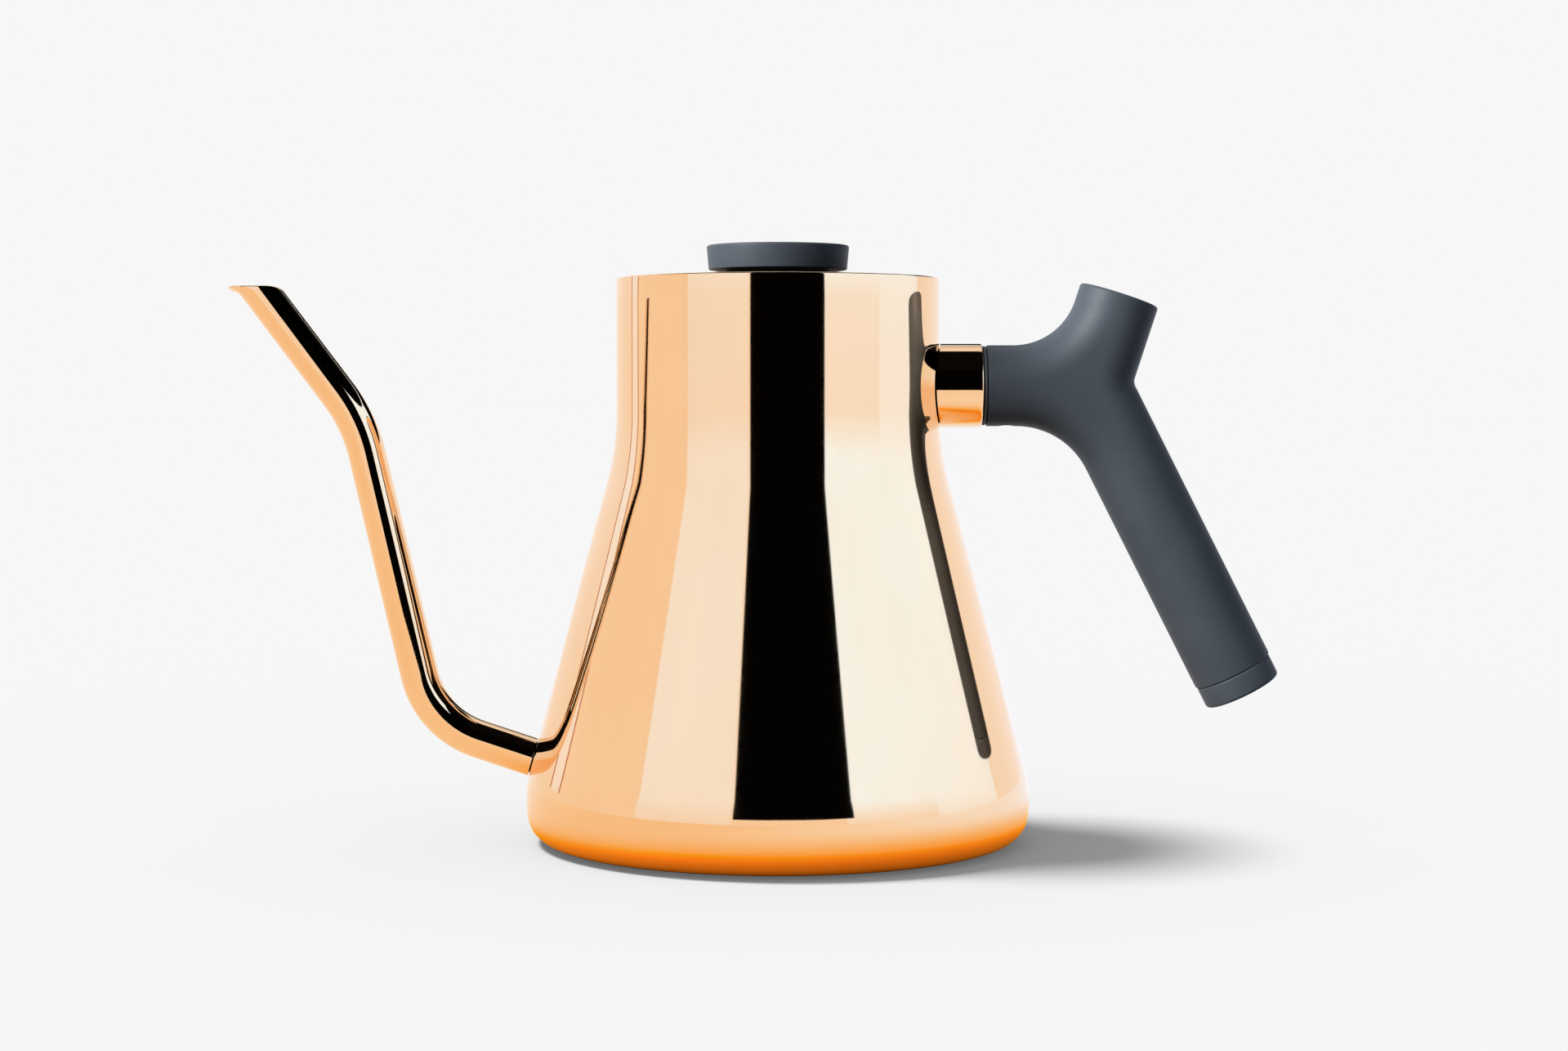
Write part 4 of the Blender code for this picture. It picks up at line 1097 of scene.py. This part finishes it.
def make_glass():
    glass = Finish("glass", 0.0)
    glass.shader.inputs["Transmission Weight"].default_value = 1.0
    glass.shader.inputs["IOR"].default_value = 1.49
    smears = glass.noise(90, detail=4, stretch=(1.0, 3.0, 1.0))
    glass.roughness(glass.ramp(smears, (0.45, 0.0), (0.8, 0.05)))
    glass.colour(glass.ramp(smears, (0.3, (0.97, 0.98, 0.98)), (0.8, (1.0, 1.0, 1.0))))


def make_finishes():
    make_copper()
    make_moulding()
    make_silicone()
    make_clear_silicone()
    across = (1.0, 1.0, 40.0)
    even = (1.0, 1.0, 1.0)
    steel = ((0.59, 0.55, 0.48), (0.69, 0.65, 0.57))
    aluminium = ((0.74, 0.75, 0.76), (0.84, 0.85, 0.86))
    cap_steel = ((0.47, 0.47, 0.47), (0.57, 0.57, 0.57))
    weight_steel = ((0.3, 0.31, 0.32), (0.38, 0.39, 0.4))
    brass = ((0.74, 0.55, 0.24), (0.84, 0.66, 0.33))
    make_metal("brushed_steel", *steel, 0.28, across, 0.004 * MM)
    make_metal("turned_aluminium", *aluminium, 0.4, across, 0.01 * MM)
    make_metal("cap_steel", *cap_steel, 0.4, even, 0.01 * MM)
    make_metal("weight_steel", *weight_steel, 0.5, across, 0.02 * MM)
    make_metal("brass_strip", *brass, 0.3, across, 0.003 * MM)
    make_enamel()
    make_paint("needle_red", (0.62, 0.07, 0.03), (0.72, 0.09, 0.04), 0.4)
    make_paint("print_ink", (0.02, 0.02, 0.022), (0.035, 0.035, 0.037), 0.5)
    make_glass()


# Which finish each CAD node that is kept wears
KEPT_NODES = {
    "brushed_steel": [
        "flow_restrictor",
        "handle_boss",
        "handle_tang",
        "handle_set_screw",
        "thermometer_case",
        "probe_stem",
        "stem_nut",
        "needle_spindle",
    ],
    "turned_aluminium": ["base_core"],
    "cap_steel": ["base_cap"],
    "weight_steel": ["balance_weight"],
    "brass_strip": ["spindle_bush", "bimetal_coil"],
    "silicone": ["weight_sleeve", "end_cap_o_ring", "knob_spacer"],
    "clear_silicone_seal": ["lid_seal", "stem_washer"],
}


def dress_kept_nodes():
    for finish, names in KEPT_NODES.items():
        for name in names:
            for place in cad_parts[name].material_slots:
                place.material = bpy.data.materials[finish]


# Studio


def mirrored_light(tone):
    """The light of one tone, as an RGBA colour; below -1 it only gets darker."""
    hue = max(tone, -1.0)
    level = 1.0 - max(0.0, -1.0 - tone)
    red, green, blue = MIDDLE_TONE
    blue += (BLUE_STEP_UP if hue > 0 else BLUE_STEP_DOWN) * hue
    colour = (red, green + GREEN_STEP * hue, max(0.02, blue))
    return [max(0.001, part * level) for part in colour] + [1.0]


def floor_tone(distance, degrees):
    """The tone of the floor's painted reflection at a distance and an angle to the right of the
    front, with painted shade that deepens to black at the foot and a little towards the front.
    """
    angle = math.radians(degrees)
    rightward = 0.5 + 0.5 * math.sin(angle)
    frontward = 0.5 + 0.5 * math.cos(angle)
    far = between(FLOOR_TONES, rightward) - FLOOR_FRONT_SHADE * frontward
    # Painted shade: black at the foot, fading out over a reach that is longer on the shadow's side
    painted_shade = math.exp((FLOOR_FOOT - distance) / between(FLOOR_SHADE_REACH, rightward))
    return between((far, BLACK), painted_shade)


def point_at(distance, degrees, height):
    """A point at a distance from the origin and an angle to the right of the front."""
    angle = math.radians(degrees)
    return (distance * math.sin(angle), -distance * math.cos(angle), height)


def toned_mesh(name, rings, tones, closed=False):
    """A grid mesh of rings of points, with the light of its tones stored at its points."""
    cage = bmesh.new()
    layer = cage.verts.layers.float_color.new("tone")
    levels = []
    for ring, ring_tones in zip(rings, tones):
        level = []
        for point, tone in zip(ring, ring_tones):
            vertex = cage.verts.new(point)
            vertex[layer] = mirrored_light(tone)
            level.append(vertex)
        levels.append(level)
    for lower, upper in zip(levels, levels[1:]):
        for i in range(0 if closed else 1, len(lower)):
            cage.faces.new((lower[i - 1], lower[i], upper[i], upper[i - 1]))
    if closed:
        cage.faces.new(levels[0][::-1])
    return add_object(name, finish_mesh(name, cage))


def toned_material(name):
    """Gives off the light stored in a mesh, a little uneven; also returns its last two nodes."""
    material = bpy.data.materials.new(name)
    material.use_nodes = True
    material.cycles.emission_sampling = "NONE"
    tree = material.node_tree
    tree.nodes.clear()
    light = add_node(tree, "Attribute")
    light.attribute_name = "tone"
    place = add_node(tree, "NewGeometry").outputs["Position"]
    cloud = add_node(tree, "TexNoise", {"Vector": place, "Scale": CLOUD_SCALE}).outputs["Fac"]
    limits = {"To Min": 1 - CLOUD_DEPTH, "To Max": 1 + CLOUD_DEPTH}
    strength = add_node(tree, "MapRange", {"Value": cloud, **limits}).outputs["Result"]
    inputs = {"Color": light.outputs["Color"], "Strength": strength}
    emission = add_node(tree, "Emission", inputs)
    output = add_node(tree, "OutputMaterial", {"Surface": emission.outputs["Emission"]})
    return material, emission, output


def add_panel(name, distance, edges, span, tones, steps):
    """A curved panel that only reflections see."""
    across = [between(edges, i / steps) for i in range(steps + 1)]
    heights = [between(span, i / PANEL_ROWS) for i in range(PANEL_ROWS + 1)]
    rings = [[point_at(distance, a, height) for a in across] for height in heights]
    levels = [between(tones, min(1.0, height / FULL_TONE_HEIGHT)) for height in heights]
    panel = toned_mesh(name, rings, [[level] * len(across) for level in levels])
    panel.data.materials.append(toned_material(name)[0])
    panel.visible_camera = False
    panel.visible_diffuse = False
    panel.visible_transmission = False
    panel.visible_shadow = False


def build_panels():
    """The wall, the bright trim along its top, and the flag."""
    for name, edges, span, tones in PANELS:
        steps = max(2, round((edges[1] - edges[0]) / WALL_STEP))
        add_panel(name, WALL_DISTANCE, edges, span, tones, steps)
    trim_span = (WALL_TOP, WALL_TOP + WALL_TRIM)
    add_panel("wall_trim", WALL_DISTANCE, (0, 360), trim_span, (CREAM, CREAM), TRIM_STEPS)
    add_panel("flag", FLAG_DISTANCE, FLAG_EDGES, FLAG_SPAN, (BLACK, BLACK), FLAG_STEPS)


def build_floor():
    """A pale floor. Reflections see painted light in its place, with painted shade that darkens
    towards the kettle's foot.
    """
    turns = range(-180, 180, FLOOR_TURN_STEP)
    distances = [distance * MM for distance in FLOOR_RINGS]
    rings = [[point_at(distance, a, 0.0) for a in turns] for distance in distances]
    tones = [[floor_tone(distance, a) for a in turns] for distance in distances]
    floor = toned_mesh("floor", rings, tones, closed=True)
    floor.location.z = -FLOOR_DROP
    floor.visible_diffuse = False
    material, emission, output = toned_material("floor")
    tree = material.node_tree
    white = (1.0, 1.0, 1.0, 1.0)
    paint_colour = (FLOOR_PAINT, FLOOR_PAINT, FLOOR_PAINT, 1.0)
    paint = add_node(tree, "BsdfDiffuse", {"Color": paint_colour}).outputs["BSDF"]
    lift = add_node(tree, "Emission", {"Color": white, "Strength": FLOOR_LIFT})
    lifted = add_node(tree, "AddShader", {0: paint, 1: lift.outputs["Emission"]})
    # Reflections see the painted reflection and its painted shade; all other rays see the lit paint
    glossy = add_node(tree, "LightPath").outputs["Is Glossy Ray"]
    mirrored = emission.outputs["Emission"]
    mix = add_node(tree, "MixShader", {0: glossy, 1: lifted.outputs["Shader"], 2: mirrored})
    tree.links.new(mix.outputs["Shader"], output.inputs["Surface"])
    floor.data.materials.append(material)


def chosen(tree, switch, when_off, when_on):
    """One colour or another, by a switch socket of 0 or 1."""
    mix = add_node(tree, "Mix")
    mix.data_type = "RGBA"
    for place, socket in ((0, switch), (6, when_off), (7, when_on)):
        tree.links.new(socket, mix.inputs[place])
    return mix.outputs[2]


def build_world():
    """The same pale tone all round; reflections find a dark ceiling with one bright band."""
    world = bpy.data.worlds.new("studio")
    bpy.context.scene.world = world
    world.use_nodes = True
    world.cycles.sampling_method = "NONE"
    tree = world.node_tree
    tree.nodes.clear()
    direction = add_node(tree, "TexCoord").outputs["Generated"]
    parts = add_node(tree, "SeparateXYZ", {"Vector": direction}).outputs
    pale = add_node(tree, "RGB").outputs["Color"]
    pale.default_value = (BACKDROP, BACKDROP, BACKDROP, 1.0)
    band = add_ramp(tree, parts["Y"], *CEILING_ALONG_Y)
    side = add_ramp(tree, parts["X"], *CEILING_ALONG_X)
    ceiling = add_node(tree, "VectorMath", {0: band, 1: side})
    ceiling.operation = "MULTIPLY"
    fill = add_ramp(tree, parts["Z"], (0.0, FILL_FROM_BELOW), (0.01, FILL_FROM_ABOVE))
    path = add_node(tree, "LightPath").outputs
    seen = chosen(tree, path["Is Diffuse Ray"], pale, fill)
    seen = chosen(tree, path["Is Glossy Ray"], seen, ceiling.outputs["Vector"])
    background = add_node(tree, "Background", {"Color": seen})
    add_node(tree, "OutputWorld", {"Surface": background.outputs["Background"]})


def add_sun(name, strength, degrees, towards):
    """A distant light of an apparent size in degrees; towards points from the object to it."""
    light = bpy.data.lights.new(name, "SUN")
    light.energy = strength
    light.angle = math.radians(degrees)
    sun = add_object(name, light)
    sun.rotation_euler = Vector(towards).to_track_quat("Z", "Y").to_euler()
    return sun


def gathered(name, object_names):
    """A collection that only lists objects, for a light's linking."""
    collection = bpy.data.collections.new(name)
    for object_name in object_names:
        collection.objects.link(bpy.data.objects[object_name])
    return collection


def build_lights():
    """A soft key high on the spout's side, and a side light on the dark parts."""
    level = math.cos(KEY_ELEVATION)
    towards = (
        -level * math.cos(KEY_BEHIND),
        level * math.sin(KEY_BEHIND),
        math.sin(KEY_ELEVATION),
    )
    key = add_sun("key", KEY_STRENGTH, KEY_SPREAD, towards)
    key.visible_glossy = False
    key.light_linking.blocker_collection = gathered("key_blockers", KEY_BLOCKERS)
    side = add_sun("side_light", SIDE_STRENGTH, SIDE_SPREAD, SIDE_TOWARDS)
    side.light_linking.receiver_collection = gathered("dark_parts", DARK_PARTS)


def build_camera():
    camera = bpy.data.cameras.new("camera")
    camera.lens = CAMERA_LENS
    camera.sensor_width = CAMERA_SENSOR
    camera.clip_end = CAMERA_REACH
    obj = add_object("camera", camera)
    obj.location = CAMERA_PLACE
    obj.rotation_euler = (math.pi / 2 - CAMERA_DIP, 0.0, 0.0)
    bpy.context.scene.camera = obj


def set_view():
    scene = bpy.context.scene
    scene.view_settings.view_transform = "Standard"
    scene.view_settings.look = "None"
    scene.render.film_transparent = False
    scene.cycles.caustics_reflective = False
    # The lens casts no shadow, so light refracted by it would reach the dial a second time
    scene.cycles.caustics_refractive = False


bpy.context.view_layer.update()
make_finishes()
build_body()
build_spout()
build_handle_moulding()
build_grip_cap()
build_ferrule()
build_washer()
build_lid_plate()
build_knob()
build_bezel()
build_lens()
build_dial()
build_needle()
dress_kept_nodes()
build_panels()
build_floor()
build_world()
build_lights()
build_camera()
set_view()
